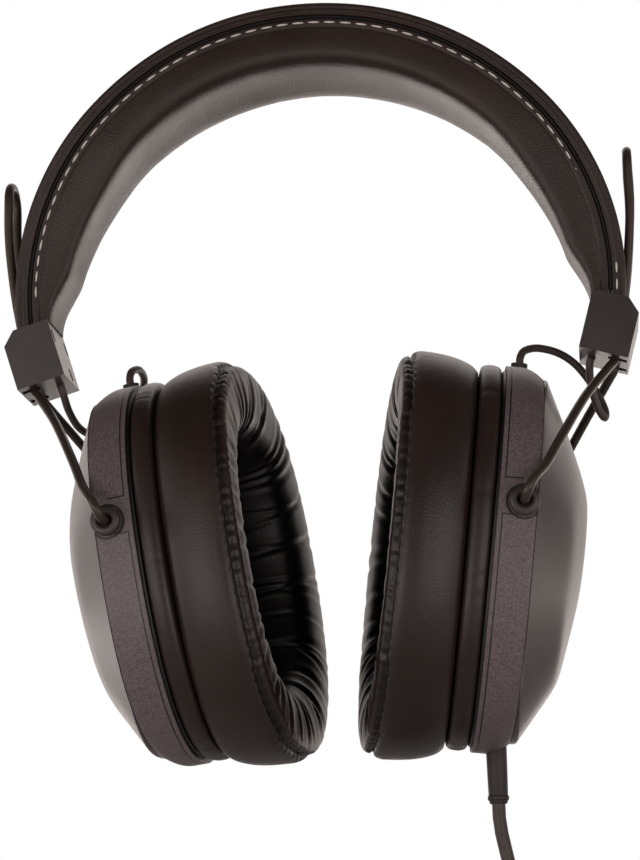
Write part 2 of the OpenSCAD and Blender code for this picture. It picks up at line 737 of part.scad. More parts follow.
// ---- Every node, drawn at its place ----

headband_cushion();
headband_cover();
headband_welt();
spring_strip();
headband_wire();
block_outer(1);  // block_outer_left
block_outer(-1);  // block_outer_right
block_inner(1);  // block_inner_left
block_inner(-1);  // block_inner_right
block_screws(1);  // block_screws_left
block_screws(-1);  // block_screws_right
block_grip(1);  // block_grip_left
block_grip(-1);  // block_grip_right
yoke_wire(1);  // yoke_wire_left
yoke_wire(-1);  // yoke_wire_right
cup_cover(1);  // cup_cover_left
cup_cover(-1);  // cup_cover_right
cup_rim(1);  // cup_rim_left
cup_rim(-1);  // cup_rim_right
trim_ring(1);  // trim_ring_left
trim_ring(-1);  // trim_ring_right
pivot_bushes(1);  // pivot_bushes_left
pivot_bushes(-1);  // pivot_bushes_right
baffle(1);  // baffle_left
baffle(-1);  // baffle_right
driver_frame(1);  // driver_frame_left
driver_frame(-1);  // driver_frame_right
driver_magnet(1);  // driver_magnet_left
driver_magnet(-1);  // driver_magnet_right
voice_coil(1);  // voice_coil_left
voice_coil(-1);  // voice_coil_right
diaphragm(1);  // diaphragm_left
diaphragm(-1);  // diaphragm_right
driver_grille(1);  // driver_grille_left
driver_grille(-1);  // driver_grille_right
damping_cloth(1);  // damping_cloth_left
damping_cloth(-1);  // damping_cloth_right
cup_screws(1);  // cup_screws_left
cup_screws(-1);  // cup_screws_right
pad_roll(1);  // pad_roll_left
pad_roll(-1);  // pad_roll_right
ear_pad(1);  // ear_pad_left
ear_pad(-1);  // ear_pad_right
link_grommet(1);  // link_grommet_left
link_grommet(-1);  // link_grommet_right
link_cable(1);  // link_cable_left
link_cable(-1);  // link_cable_right
cord_boot();
cord_lead();
cord_coil();
cord_tie();
cord_tail();
plug_boot();
plug_barrel();
plug_contact();
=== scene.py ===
# %% [markdown]
# # Over ear headphones
# The headphones have a padded leather band, two wire yokes that slide in plastic blocks, and two
# oval cups with angled leather pads. Their rigid frame comes from CAD and stays as it is. This
# lesson dresses it: every soft part is modelled again as a finer mesh, and every part gets a
# material made from nodes. Lengths in the cells are in millimetres and turn into metres at the end.

# %% Load the frame
import math

import bmesh
import bpy
import numpy as np
from mathutils import Matrix, Vector


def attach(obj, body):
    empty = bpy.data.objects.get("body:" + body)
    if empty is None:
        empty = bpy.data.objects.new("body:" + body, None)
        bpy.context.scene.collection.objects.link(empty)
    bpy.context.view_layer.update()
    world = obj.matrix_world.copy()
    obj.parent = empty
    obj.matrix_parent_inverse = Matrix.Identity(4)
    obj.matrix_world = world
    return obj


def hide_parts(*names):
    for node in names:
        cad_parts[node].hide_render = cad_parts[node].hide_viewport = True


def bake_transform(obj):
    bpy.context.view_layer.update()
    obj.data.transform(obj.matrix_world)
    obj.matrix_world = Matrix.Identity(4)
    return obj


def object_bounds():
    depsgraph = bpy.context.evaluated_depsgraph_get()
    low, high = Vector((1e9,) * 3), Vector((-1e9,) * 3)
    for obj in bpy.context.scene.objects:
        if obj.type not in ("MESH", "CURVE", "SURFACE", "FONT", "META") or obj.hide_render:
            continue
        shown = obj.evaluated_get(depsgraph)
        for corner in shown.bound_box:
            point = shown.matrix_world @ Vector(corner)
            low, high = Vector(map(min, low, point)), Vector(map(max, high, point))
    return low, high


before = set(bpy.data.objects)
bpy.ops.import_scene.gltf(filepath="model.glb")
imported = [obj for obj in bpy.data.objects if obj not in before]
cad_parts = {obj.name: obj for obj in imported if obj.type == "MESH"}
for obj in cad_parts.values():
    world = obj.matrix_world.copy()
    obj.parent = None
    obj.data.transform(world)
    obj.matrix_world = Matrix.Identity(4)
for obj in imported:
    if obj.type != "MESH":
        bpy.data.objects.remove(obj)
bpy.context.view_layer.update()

# %% [markdown]
# ## The camera
# The photograph was taken from a little to the right and from below, with a long lens that hardly
# shows perspective. The camera is set from its direction, distance and lens, with a slight roll.
# It comes first, because the cord's unseen length has to lie outside what it sees.

# %% Camera
MM = 0.001
AIM = Vector((-1.5, 0, -92.5)) * MM
TURN, LIFT, ROLL = math.radians(5.2), math.radians(-10.5), math.radians(2.0)
DISTANCE = 0.75
LENS = 36 * 2950 / 860

away = Vector((math.sin(TURN) * math.cos(LIFT), -math.cos(TURN) * math.cos(LIFT), math.sin(LIFT)))
level = (-away).cross(Vector((0, 0, 1))).normalized()
upward = level.cross(-away)
across = level * math.cos(ROLL) - upward * math.sin(ROLL)
along = level * math.sin(ROLL) + upward * math.cos(ROLL)

camera = bpy.data.objects.new("camera", bpy.data.cameras.new("camera"))
bpy.context.scene.collection.objects.link(camera)
turned_view = Matrix((across, along, away)).transposed().to_4x4()
camera.matrix_world = Matrix.Translation(AIM + away * DISTANCE) @ turned_view
camera.data.lens = LENS
camera.data.clip_start = 0.05
bpy.context.scene.camera = camera
print("camera at", [round(x, 4) for x in camera.matrix_world.translation])

# %% [markdown]
# ## Tools for shape
# Almost everything here is a band or a ring: a cross-section that travels along a line. One helper
# makes a skin over a table of points, row by row. Another sends a round section along a line and
# turns it as little as possible on the way, so that a bent wire doesn't twist.

# %% A skin over rows of points
def skin(name, rows, around=True, loop=False, caps=True, sharp=None):
    rows = np.asarray(rows, float)
    n, k = rows.shape[:2]
    index = np.arange(n * k).reshape(n, k)
    here = index if around else index[:, :-1]
    beside = np.roll(index, -1, axis=1) if around else index[:, 1:]
    faces = []
    for i in range(n if loop else n - 1):
        j = (i + 1) % n
        faces += np.stack([here[i], beside[i], beside[j], here[j]], 1).tolist()
    if caps and around and not loop:
        faces += [index[0][::-1].tolist(), index[-1].tolist()]
    mesh = bpy.data.meshes.new(name)
    mesh.from_pydata((rows.reshape(-1, 3) * MM).tolist(), [], faces)
    bm = bmesh.new()
    bm.from_mesh(mesh)
    bmesh.ops.recalc_face_normals(bm, faces=bm.faces)
    bm.to_mesh(mesh)
    bm.free()
    mesh.shade_smooth()
    if sharp:
        mesh.set_sharp_from_angle(angle=math.radians(sharp))
    piece = bpy.data.objects.new(name, mesh)
    bpy.context.scene.collection.objects.link(piece)
    return piece


# %% A smooth line through a few points, and the same line in even steps
def smooth_line(points, steps=6):
    p = np.asarray(points, float)
    out = []
    for i in range(len(p) - 1):
        a, b, c, d = p[max(i - 1, 0)], p[i], p[i + 1], p[min(i + 2, len(p) - 1)]
        for f in np.arange(steps) / steps:
            out.append(0.5 * (2 * b + (c - a) * f + (2 * a - 5 * b + 4 * c - d) * f ** 2
                              + (3 * b - a - 3 * c + d) * f ** 3))
    return np.array(out + [p[-1]])


def distances(line):
    return np.concatenate([[0], np.cumsum(np.linalg.norm(np.diff(line, axis=0), axis=1))])


def even_line(line, step):
    d = distances(line)
    at = np.linspace(0, d[-1], max(2, int(round(d[-1] / step)) + 1))
    return np.stack([np.interp(at, d, line[:, k]) for k in range(3)], 1)


# %% A round section along a line
def tube_rows(line, radius, sides=16, start=(0.02, 1, 0.01)):
    line = np.asarray(line, float)
    radius = np.broadcast_to(radius, len(line))
    way = np.gradient(line, axis=0)
    way /= np.linalg.norm(way, axis=1)[:, None]
    side = np.asarray(start, float)
    turn = np.linspace(0, 2 * math.pi, sides, endpoint=False)
    rows = []
    for p, t, r in zip(line, way, radius):
        side = side - side.dot(t) * t
        side /= np.linalg.norm(side)
        other = np.cross(t, side)
        rows.append(p + r * (np.cos(turn)[:, None] * side + np.sin(turn)[:, None] * other))
    return np.array(rows)


def tube(name, line, radius, sides=16, start=(0.02, 1, 0.01)):
    return skin(name, tube_rows(line, radius, sides, start), sharp=60)


# %% A turned part: [radius, height] pairs around an axis
def turned(name, profile, base, axis, sides=48, sharp=35):
    axis = Vector(axis).normalized()
    side = axis.orthogonal().normalized()
    other = axis.cross(side)
    rows = [[Vector(base) + axis * h + r * (math.cos(a) * side + math.sin(a) * other)
             for a in np.linspace(0, 2 * math.pi, sides, endpoint=False)] for r, h in profile]
    return skin(name, rows, sharp=sharp)


# %% [markdown]
# ## The cord
# Three metres of limp round cord leave the boot under the left cup. A short length hangs free and
# runs out of the picture, and the rest is wound up and tied, with the plug hanging under it. The
# winding spirals in and out in four layers, so it is one unbroken line that never crosses itself.

# %% The cord's line
CORD_D = 3.4
COIL_STEP, COIL_TURNS, COIL_IN_R = 4.05, 22.25, 9.8
COIL_X, COIL_TOP_Z = 25.0, -216.4
COIL_OUT_R = COIL_IN_R + COIL_STEP * COIL_TURNS / 4
COIL_Z = COIL_TOP_Z - COIL_OUT_R
RING_N = 24
LEAD = [[39.6, -0.64, -188.7], [39.6, -0.64, -192], [40, -0.5, -195.8], [40.8, -0.25, -200],
        [41.6, -0.05, -204], [41.8, 0, -207], [41, 0, -210.4], [38.8, 0, -213.6], [35.6, 0, -215.6],
        [32, 0, -216.4], [28.4, 0, -216.4]]
TAIL_LEN = 22.0


def eased(f):
    """From 0 to 1 with a soft start and a soft end."""
    f = np.clip(f, 0.0, 1.0)
    return f * f * (3 - 2 * f)


def climb(turn, k):
    return eased((turn - k * COIL_TURNS / 4 + 0.25) / 0.5)


def coil_point(turn):
    leg = COIL_TURNS / 4
    n = math.floor(turn / leg)
    f = (turn - n * leg) * COIL_STEP
    r = COIL_OUT_R - f if n % 2 == 0 else COIL_IN_R + f
    a = math.radians(90 + 360 * turn)
    y = COIL_STEP * sum(climb(turn, k) for k in (1, 2, 3))
    return [COIL_X + r * math.cos(a), y, COIL_Z + r * math.sin(a)]


last = math.floor(COIL_TURNS * RING_N)
wound = [coil_point(i / RING_N) for i in range(last + 1)]
coil_end = np.array(wound[-1])
tail = [coil_end - [0, 0, CORD_D + TAIL_LEN * k / 4] for k in range(5)]
cord_line = np.array(LEAD + wound + [list(p) for p in tail])
print("cord line:", len(cord_line), "points,", round(distances(cord_line)[-1]), "mm")

# %% The cord itself
cord = tube("cord", cord_line, CORD_D / 2, sides=14)
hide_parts("cord_lead", "cord_coil", "cord_tail")
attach(cord, "cup_left")
print("cord mesh:", len(cord.data.polygons), "faces")

# %% The tie, a soft strap around the bundle
TIE_GAP = CORD_D / 2 + 1.5
TIE_X = (COIL_X + COIL_IN_R - TIE_GAP, COIL_X + COIL_OUT_R + TIE_GAP)
TIE_Y = (-TIE_GAP, 3 * COIL_STEP + TIE_GAP)
BEND_R = 2.6
tie_loop = []
for cx, cy, a0 in ((TIE_X[1] - BEND_R, TIE_Y[1] - BEND_R, 0), (TIE_X[0] + BEND_R, TIE_Y[1] - BEND_R, 90),
                   (TIE_X[0] + BEND_R, TIE_Y[0] + BEND_R, 180), (TIE_X[1] - BEND_R, TIE_Y[0] + BEND_R, 270)):
    for a in np.radians(np.linspace(a0, a0 + 90, 7)):
        tie_loop.append(([cx + BEND_R * math.cos(a), cy + BEND_R * math.sin(a)], [math.cos(a), math.sin(a)]))
tie_section = [(0.5, -2.6), (0.5, 2.6), (0.3, 3.0), (-0.3, 3.0),
               (-0.5, 2.6), (-0.5, -2.6), (-0.3, -3.0), (0.3, -3.0)]
cord_tie = skin("cord_tie_strap", [[[p[0] + n[0] * o, p[1] + n[1] * o, COIL_Z + h] for o, h in tie_section]
                                   for p, n in tie_loop], loop=True, sharp=50)
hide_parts("cord_tie")
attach(cord_tie, "cup_left")

# %% [markdown]
# ## The link cables
# A thin cable takes the sound from each block down to its cup. It hangs in a loop that opens when
# the yoke slides out.

# %% The two loops
LINK_D = 2.0
LINK_LEFT = [[68, 0, -77.6], [67.5, 0.4, -79.4], [67.6, 2, -84], [69, 4, -89.5], [70.6, 6, -92],
             [70.8, 8, -89.5], [68.5, 8.5, -84], [64.5, 8, -78], [60, 6.8, -74.6], [54.8, 4.4, -73.4],
             [51.3, 1.8, -74.4], [50.1, 0.5, -76.4], [49.9, 0.27, -78.2], [49.7, 0.25, -79.4]]
LINK_RIGHT = [[68, 0, -77.6], [67.5, 0.4, -79.4], [66.4, 3, -84], [64.6, 8.5, -87.4], [61.6, 14.5, -88],
              [57.6, 19.5, -84.8], [53.4, 20, -80.6], [49.8, 17, -77], [48.1, 11.5, -74.5],
              [48.4, 5.5, -73.3], [49.7, 1.7, -74.4], [50.1, 0.5, -76.4], [49.9, 0.27, -78.2],
              [49.7, 0.25, -79.4]]
PIECE_LEN = {"left": 31.0, "right": 35.0}
BENDS = {"left": (((68, 0.4, -79), (68, 8, -79)), ((64, 8, -78), (51.6, 2, -74.6))),
         "right": (((68, 0.4, -79), (68, 13, -79)), ((52.5, 19.5, -79.6), (49.7, 1.7, -74.4)))}
SIDES = (("left", 1), ("right", -1))
link_cables = []
for side, s in SIDES:
    route = even_line(smooth_line(LINK_LEFT if side == "left" else LINK_RIGHT, 8), 0.8) * [s, 1, 1]
    far = distances(route)
    upper, lower = route[far <= PIECE_LEN[side]], route[far >= far[-1] - PIECE_LEN[side]]
    for part, line, bodies, (a, b) in (("upper", upper, ("headband", f"yoke_{side}"), BENDS[side][0]),
                                       ("lower", lower, (f"yoke_{side}", f"cup_{side}"), BENDS[side][1])):
        cable = tube(f"link_cable_{part}_{side}", line, LINK_D / 2, sides=16)
        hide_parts(f"link_cable_{side}")
        a[0] * s * MM
        a[1] * MM
        a[2] * MM
        b[0] * s * MM
        b[1] * MM
        b[2] * MM
        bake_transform(cable)
        (line[0] * MM).tolist()
        (line * MM).tolist()
        link_cables.append(cable)
    print(side, "loop is", round(far[-1], 1), "mm long")

# %% [markdown]
# ## Materials as expressions
# A material is a small network of nodes. To keep it readable, one class wraps an output socket, and its
# operators add Math nodes, so that `1 - mask` or `grain * 0.3` reads like arithmetic. A second
# class is one finish: it holds the surface shader and adds any other node by name.

# %% A wrapped socket
class Flow:
    def __init__(self, finish, socket):
        self.finish, self.socket = finish, socket

    def math(self, operation, other=0.0, flip=False, clamp=False):
        pair = (other, self) if flip else (self, other)
        return self.finish.add("ShaderNodeMath", {"operation": operation, "use_clamp": clamp},
                               {0: pair[0], 1: pair[1]})

    def __add__(self, other): return self.math("ADD", other)
    def __radd__(self, other): return self.math("ADD", other, True)
    def __sub__(self, other): return self.math("SUBTRACT", other)
    def __rsub__(self, other): return self.math("SUBTRACT", other, True)
    def __mul__(self, other): return self.math("MULTIPLY", other)
    def __rmul__(self, other): return self.math("MULTIPLY", other, True)
    def __truediv__(self, other): return self.math("DIVIDE", other)
    def __pow__(self, other): return self.math("POWER", other)
    def __abs__(self): return self.math("ABSOLUTE")
    def above(self, level): return self.math("GREATER_THAN", level)
    def below(self, level): return self.math("LESS_THAN", level)
    def least(self, other): return self.math("MINIMUM", other)


# %% One finish
def linear(*srgb):
    """A screen colour, 0 to 255, as the linear colour that a shader's socket takes."""
    shares = [v / 255 for v in srgb]
    return tuple(c / 12.92 if c <= 0.04045 else ((c + 0.055) / 1.055) ** 2.4 for c in shares) + (1.0,)


class Finish:
    def __init__(self, name, **sockets):
        self.material = bpy.data.materials.new(name)
        self.material.use_nodes = True
        self.tree = self.material.node_tree
        self.shader = self.tree.nodes["Principled BSDF"]
        for key, value in sockets.items():
            self.shader.inputs[key.replace("_", " ").title().replace("Ior", "IOR")].default_value = value

    def add(self, kind, settings=None, values=None, out=0):
        node = self.tree.nodes.new(kind)
        for key, value in (settings or {}).items():
            if key == "stops":
                ramp = node.color_ramp
                while len(ramp.elements) < len(value):
                    ramp.elements.new(0.5)
                for element, (at, colour) in zip(ramp.elements, value):
                    element.position, element.color = at, colour
            else:
                setattr(node, key, value)
        for key, value in (values or {}).items():
            if isinstance(value, Flow):
                self.tree.links.new(value.socket, node.inputs[key])
            else:
                node.inputs[key].default_value = value
        return Flow(self, node.outputs[out])

    def place(self):
        return self.add("ShaderNodeTexCoord", out="Object")

    def noise(self, size, detail=3.0, where=None, rough=0.5):
        return self.add("ShaderNodeTexNoise", {}, {"Vector": where or self.place(), "Scale": 1 / (size * MM),
                                                   "Detail": detail, "Roughness": rough})

    def cells(self, size, feature="F1", where=None):
        return self.add("ShaderNodeTexVoronoi", {"feature": feature},
                        {"Vector": where or self.place(), "Scale": 1 / (size * MM)}, out="Distance")

    def ramp(self, value, low, high):
        return self.add("ShaderNodeMapRange", {"clamp": True, "interpolation_type": "SMOOTHSTEP"},
                        {"Value": value, "From Min": low, "From Max": high})

    def blend(self, mask, a, b):
        return self.add("ShaderNodeMix", {"data_type": "RGBA"}, {0: mask, 6: a, 7: b}, out=2)

    def read(self, name, out="Fac"):
        return self.add("ShaderNodeAttribute", {"attribute_name": name}, out=out)

    def wear(self, colour=None, roughness=None, height=None, depth=0.1, metallic=None):
        for key, value in (("Base Color", colour), ("Roughness", roughness), ("Metallic", metallic)):
            if value is not None:
                self.tree.links.new(value.socket, self.shader.inputs[key])
        if height is not None:
            bump = self.add("ShaderNodeBump", {}, {"Height": height, "Strength": 1.0, "Distance": depth * MM},
                            out="Normal")
            self.tree.links.new(bump.socket, self.shader.inputs["Normal"])
        return self


def dress(piece, finish):
    piece.data.materials.clear()
    piece.data.materials.append(finish.material)


# %% [markdown]
# ## Leather
# The band and the pads are covered in dark brown coated leather. Its grain is fine, well under a
# millimetre, with a slow change of tone across the hide. Cells give the pebbles, noise breaks them
# up, and both go into one bump. A piece can carry a point attribute of painted shade that darkens
# the leather: in the pads' seams and towards the bottom of their hollows.

# %% Two leathers
# The near-black colour of the painted shade in the pads' seams and hollows.
PAINTED_SHADE_COLOUR = linear(6, 4, 4)


def leather(name, dark, light, roughness, grain=0.62, depth=0.05):
    f = Finish(name, specular_ior_level=0.45)
    pebble = f.ramp(f.cells(grain), 0.05, 0.6)
    fine = f.noise(0.35, 2.0)
    slow = f.noise(17.0, 4.0)
    crease = f.ramp(f.noise(6.0, 5.0, rough=0.62), 0.38, 0.62)
    tone = f.ramp(slow, 0.3, 0.7) * 0.55 + (1 - pebble) * 0.3 + fine * 0.15
    # Painted shade: the leather is blended towards near black where the piece's shade attribute is high, in
    # the pads' seams and hollows.
    colour = f.blend(f.read("seam_shade"), f.blend(tone, dark, light), PAINTED_SHADE_COLOUR)
    rough = roughness + (slow - 0.5) * 0.16 + (1 - pebble) * -0.05
    return f.wear(colour, rough, pebble * -0.7 + fine * 0.35 + crease * 0.35, depth)


band_leather = leather("band_leather", linear(42, 31, 27), linear(57, 44, 38), 0.48)
pad_leather = leather("pad_leather", linear(38, 27, 23), linear(52, 39, 35), 0.43, grain=0.55, depth=0.03)
print("leather nodes:", len(band_leather.tree.nodes))

# %% [markdown]
# ## Rubber, plastic, metal and thread
# The small parts share a few finishes. Moulded plastic has a very fine spark-eroded grain, the
# yoke wire a satin brown coat with faint drawing lines, and the housing a textured paint with tiny
# flakes, whose glints are painted into its colour as near-white specks.

# %% Plastics and rubbers
def plastic(name, dark, light, roughness, grain=0.3, depth=0.02, **sockets):
    f = Finish(name, **sockets)
    fine = f.noise(grain, 3.0)
    slow = f.noise(12.0, 3.0)
    return f.wear(f.blend(f.ramp(slow, 0.3, 0.7), dark, light), roughness + (fine - 0.5) * 0.2, fine, depth)


block_plastic = plastic("block_plastic", linear(47, 39, 37), linear(60, 51, 48), 0.36,
                        specular_ior_level=0.85)
bush_plastic = plastic("bush_plastic", linear(52, 45, 45), linear(68, 60, 60), 0.42)
trim_plastic = plastic("trim_plastic", linear(26, 22, 21), linear(38, 33, 32), 0.4)
inner_plastic = plastic("inner_plastic", linear(7, 6, 6), linear(11, 10, 10), 0.8)
soft_rubber = plastic("soft_rubber", linear(40, 34, 32), linear(54, 46, 43), 0.55, grain=0.5, depth=0.03)
cable_jacket = plastic("cable_jacket", linear(62, 51, 47), linear(79, 67, 63), 0.48, grain=0.4)
cover_satin = plastic("cover_satin", linear(62, 54, 53), linear(72, 63, 62), 0.34, grain=0.25, depth=0.006)
diaphragm_film = plastic("diaphragm_film", linear(172, 163, 138), linear(196, 188, 164), 0.35, grain=1.2,
                         depth=0.05)
damping_cloth = Finish("damping_cloth", roughness=0.95)
weave = damping_cloth.add("ShaderNodeTexChecker", {}, out="Fac",
                          values={"Vector": damping_cloth.place(), "Scale": 1 / (0.5 * MM)})
damping_cloth.wear(damping_cloth.blend(weave, linear(4, 4, 4), linear(11, 10, 10)), height=weave, depth=0.1)


# %% Metals
def metal(name, dark, light, roughness, grain=0.5, stretch=14.0, metallic=1.0):
    f = Finish(name, metallic=metallic)
    where = f.add("ShaderNodeMapping", {}, {"Vector": f.place(), "Scale": (1, 1, 1 / stretch)})
    lines = f.noise(grain, 3.0, where)
    return f.wear(f.blend(lines, dark, light), roughness + (lines - 0.5) * 0.2, lines, 0.006)


yoke_coat = metal("yoke_coat", linear(62, 52, 45), linear(80, 69, 60), 0.42, metallic=0.4)
spring_steel = metal("spring_steel", linear(130, 131, 134), linear(160, 161, 163), 0.35)
screw_plate = metal("screw_plate", linear(190, 190, 188), linear(214, 214, 212), 0.25)
copper_wire = metal("copper_wire", linear(165, 92, 40), linear(190, 112, 56), 0.4)
gold_plate = metal("gold_plate", linear(190, 150, 80), linear(220, 182, 108), 0.25)

# %% The housing's flake paint with painted glints, the thin lines where its panels meet, and painted shade in its recess
rim_paint = Finish("rim_paint", specular_ior_level=0.75)
cup_place = rim_paint.read("cup_place", out="Vector")
cup_x, cup_y, cup_z = (rim_paint.add("ShaderNodeSeparateXYZ", {}, {0: cup_place}, out=k) for k in range(3))
flake = rim_paint.cells(0.42)
# Painted glints: tiny flecks of the paint are coloured near white, as if each caught the light.
spark = rim_paint.ramp(flake, 0.16, 0.02) * rim_paint.ramp(rim_paint.noise(0.9, 1.0), 0.52, 0.6)
pebbles = rim_paint.noise(0.5, 4.0, rough=0.7)
LINE = 0.17                       # half the width of a panel line
# RECESS_X marks where the trim's recess beside the roll begins; from there on the trim is painted dark as
# shade.
SEAM_X, RECESS_X = -4.95, -6.18   # the long panel line, and where the recess beside the roll begins
STEP_UP, STEP_DOWN = 5.6, -3.4    # the line stops this far above and below a pivot


def panel_line(value, at):
    return abs(value - at).below(LINE)


beyond = (cup_z.above(STEP_UP - LINE) + cup_z.below(STEP_DOWN + LINE)).least(1.0)
upper_step = panel_line(cup_z, STEP_UP) * cup_x.below(-0.6) * cup_x.above(SEAM_X)
lower_step = panel_line(cup_z, STEP_DOWN) * cup_x.below(-1.6) * cup_x.above(SEAM_X)
steps = upper_step + lower_step
from_bush = (cup_x * cup_x + cup_z * cup_z) ** 0.5
on_flank = abs(cup_y).above(30.0)
seat = abs(from_bush - 4.15).below(0.28) * on_flank
# The panel lines and the ring round each bush are dark joints; the part past RECESS_X is painted shade in the
# recess.
panel_lines_and_recess_shade = (panel_line(cup_x, SEAM_X) * beyond + steps * on_flank + seat + cup_x.below(RECESS_X)).least(1.0)
base = rim_paint.blend(rim_paint.ramp(pebbles, 0.35, 0.65), linear(80, 69, 71), linear(118, 104, 108))
# The painted glints are blended into the paint's colour here.
with_painted_glints = rim_paint.blend(spark, base, linear(196, 184, 186))
# The near-black colour here serves the joints and the painted shade of the recess.
rim_paint.wear(rim_paint.blend(panel_lines_and_recess_shade, with_painted_glints, linear(10, 8, 8)), 0.5 + (pebbles - 0.5) * 0.3,
               pebbles * 0.25 - panel_lines_and_recess_shade * 1.0, 0.16)
print("rim paint nodes:", len(rim_paint.tree.nodes))

# %% Threads and dark seams
def thread(name, dark, light):
    f = Finish(name, roughness=0.7)
    twist = f.noise(0.3, 2.0)
    return f.wear(f.blend(twist, dark, light), height=twist, depth=0.06)


white_thread = thread("white_thread", linear(205, 200, 190), linear(240, 236, 228))
black_thread = thread("black_thread", linear(8, 7, 7), linear(30, 26, 25))
seam_felt = thread("seam_felt", linear(9, 7, 7), linear(22, 18, 17))
dress(cord_tie, soft_rubber)
for piece in [cord] + link_cables:
    dress(piece, cable_jacket)

# %% [markdown]
# ## The band
# The band is a soft cushion under a flat leather cover, with a sewn edge and a black welt between
# them. Its outline is a wide arc over the crown that tightens down each side, and it grows narrower
# and thinner towards the blocks. A point on it is given by its angle from the crown, its place
# across the width and its depth under the outer face.

# %% A point on the band
CROWN_R, SIDE_R, TURN_A = 81.0, 69.0, 47.0
BAND_T, BAND_END_T, BAND_W, BAND_END_W = 15.5, 11.0, 35.0, 20.0
END_A, CUT_A = 94.0, 97.0
CROWN_CZ = BAND_T - CROWN_R
SIDE_CX = (CROWN_R - SIDE_R) * math.sin(math.radians(TURN_A))
SIDE_CZ = CROWN_CZ + (CROWN_R - SIDE_R) * math.cos(math.radians(TURN_A))


def band_point(a, y, depth):
    r = math.radians(a)
    if abs(a) <= TURN_A:
        return [(CROWN_R - depth) * math.sin(r), y, CROWN_CZ + (CROWN_R - depth) * math.cos(r)]
    x = math.copysign(SIDE_CX, a) + (SIDE_R - depth) * math.sin(r)
    return [x, y, SIDE_CZ + (SIDE_R - depth) * math.cos(r)]


def taper(a, start):
    return eased((abs(a) - start) / (END_A - start))


def half_width(a):
    return (BAND_W + (BAND_END_W - BAND_W) * taper(a, 10)) / 2


def thickness(a):
    return BAND_T + (BAND_END_T - BAND_T) * taper(a, 50)


band_angles = np.linspace(-CUT_A, CUT_A, 321)
band_far = distances(np.array([band_point(a, 0, 6) for a in band_angles]))
print("band is", round(band_far[-1]), "mm long")

# %% Cutting the band's ends off where they enter the blocks
BLOCK_X, BLOCK_Z, BLOCK_L, BLOCK_LEAN = 73.2, -71.2, 15.2, math.radians(16)


def cut_at_blocks(piece):
    bm = bmesh.new()
    bm.from_mesh(piece.data)
    for s in (1, -1):
        up = Vector((s * math.sin(BLOCK_LEAN), 0, math.cos(BLOCK_LEAN)))
        top = Vector((s * BLOCK_X, 0, BLOCK_Z)) * MM + up * (BLOCK_L / 2 - 0.6) * MM
        near = [f for f in bm.faces if all(v.co.x * s > 0.03 for v in f.verts)]
        geom = list({v for f in near for v in f.verts}) + list({e for f in near for e in f.edges}) + near
        bmesh.ops.bisect_plane(bm, geom=geom, plane_co=top, plane_no=-up, clear_outer=True)
    bmesh.ops.holes_fill(bm, edges=[e for e in bm.edges if e.is_boundary], sides=0)
    bm.to_mesh(piece.data)
    bm.free()
    piece.data.shade_smooth()
    piece.data.set_sharp_from_angle(angle=math.radians(50))


# %% The cushion: a sewn ledge, a full side and a soft underside
LIP = 4.4


def spread(points, n):
    """A smooth section through the points, in n even steps."""
    line = smooth_line([[q[0], q[1], 0] for q in points], 12)
    return even_line(line, distances(line)[-1] / n)[:, :2]


def cushion_half(t):
    return spread([(0.93, LIP), (0.965, LIP + 0.15), (0.972, LIP + 0.7), (0.97, LIP + 1.7), (0.95, LIP + 2.1),
                   (0.968, LIP + 2.6), (0.99, LIP + 0.45 * t), (1.0, LIP + 0.66 * t), (0.988, LIP + 0.82 * t),
                   (0.945, LIP + 0.935 * t), (0.86, LIP + t), (0.7, LIP + 1.025 * t), (0.4, LIP + 1.01 * t),
                   (0, LIP + t)], 50)


def wrinkle(seed, n):
    """n creases across the band: place, width, strength and slant."""
    rng = np.random.default_rng(seed)
    return [[rng.uniform(*span) for span in ((-1, 1), (0.6, 1.6), (0.3, 1.0), (-0.4, 0.4))] for _ in range(n)]


def pinch(a):
    """How full the cushion is: fuller down the sides, and drawn in where a block holds it."""
    return (1 + 0.34 * taper(a, 40)) * (1 - 0.5 * eased((abs(a) - 81) / 15))


band_creases = wrinkle(11, 34)
rows = []
for a, far in zip(band_angles, band_far):
    w, t = half_width(a), (thickness(a) - LIP) * pinch(a)
    half = cushion_half(t)
    ring = [(q, d) for q, d in half] + [(-q, d) for q, d in half[::-1][1:]]
    row = []
    for q, d in ring:
        low = max(0.0, (d - LIP) / t - 0.35) / 0.65
        swell = 0.0
        for at, width, strength, slant in band_creases:
            gap = (far / band_far[-1] * 2 - 1 - at) * band_far[-1] / 2 + slant * q * 8
            swell -= strength * 0.07 * math.exp(-(gap / (1.3 * width)) ** 2) * low * (1 - abs(q) ** 6 * 0.7)
        row.append(band_point(a, q * w, d + swell))
    rows.append(row)
cushion = skin("band_cushion", rows)
cut_at_blocks(cushion)
dress(cushion, band_leather)
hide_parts("headband_cushion")
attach(cushion, "headband")
print("cushion:", len(cushion.data.vertices), "points")

# %% The cover: flat on top, rolled at its edges, dished behind each hairpin
DISH_X, DISH_HALF = 75.2, 7.4


def cover_half():
    return spread([(0, 0.02), (0.4, 0.03), (0.8, 0.06), (0.92, 0.12), (0.965, 0.5), (0.98, 1.1),
                   (0.978, 1.9), (0.99, 2.3), (0.974, 2.6), (0.976, 3.2), (0.955, 3.4), (0.9, 3.4)], 48)


rows = []
for a in band_angles:
    w = half_width(a)
    half = cover_half()
    ring = [(q, d) for q, d in half] + [(-q, d) for q, d in half[::-1] if q > 0.001]
    row = []
    for q, d in ring:
        x, y, z = band_point(a, q * w, d)
        if d < 2.0 and z < -20:
            floor = DISH_X + 6 * min(1.0, max(0.0, (abs(y) - DISH_HALF) / 1.6))
            x = math.copysign(min(abs(x), floor), x)
        row.append([x, y, z])
    rows.append(row)
cover = skin("band_cover", rows)
cut_at_blocks(cover)
dress(cover, band_leather)
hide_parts("headband_cover")
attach(cover, "headband")
print("cover:", len(cover.data.vertices), "points")

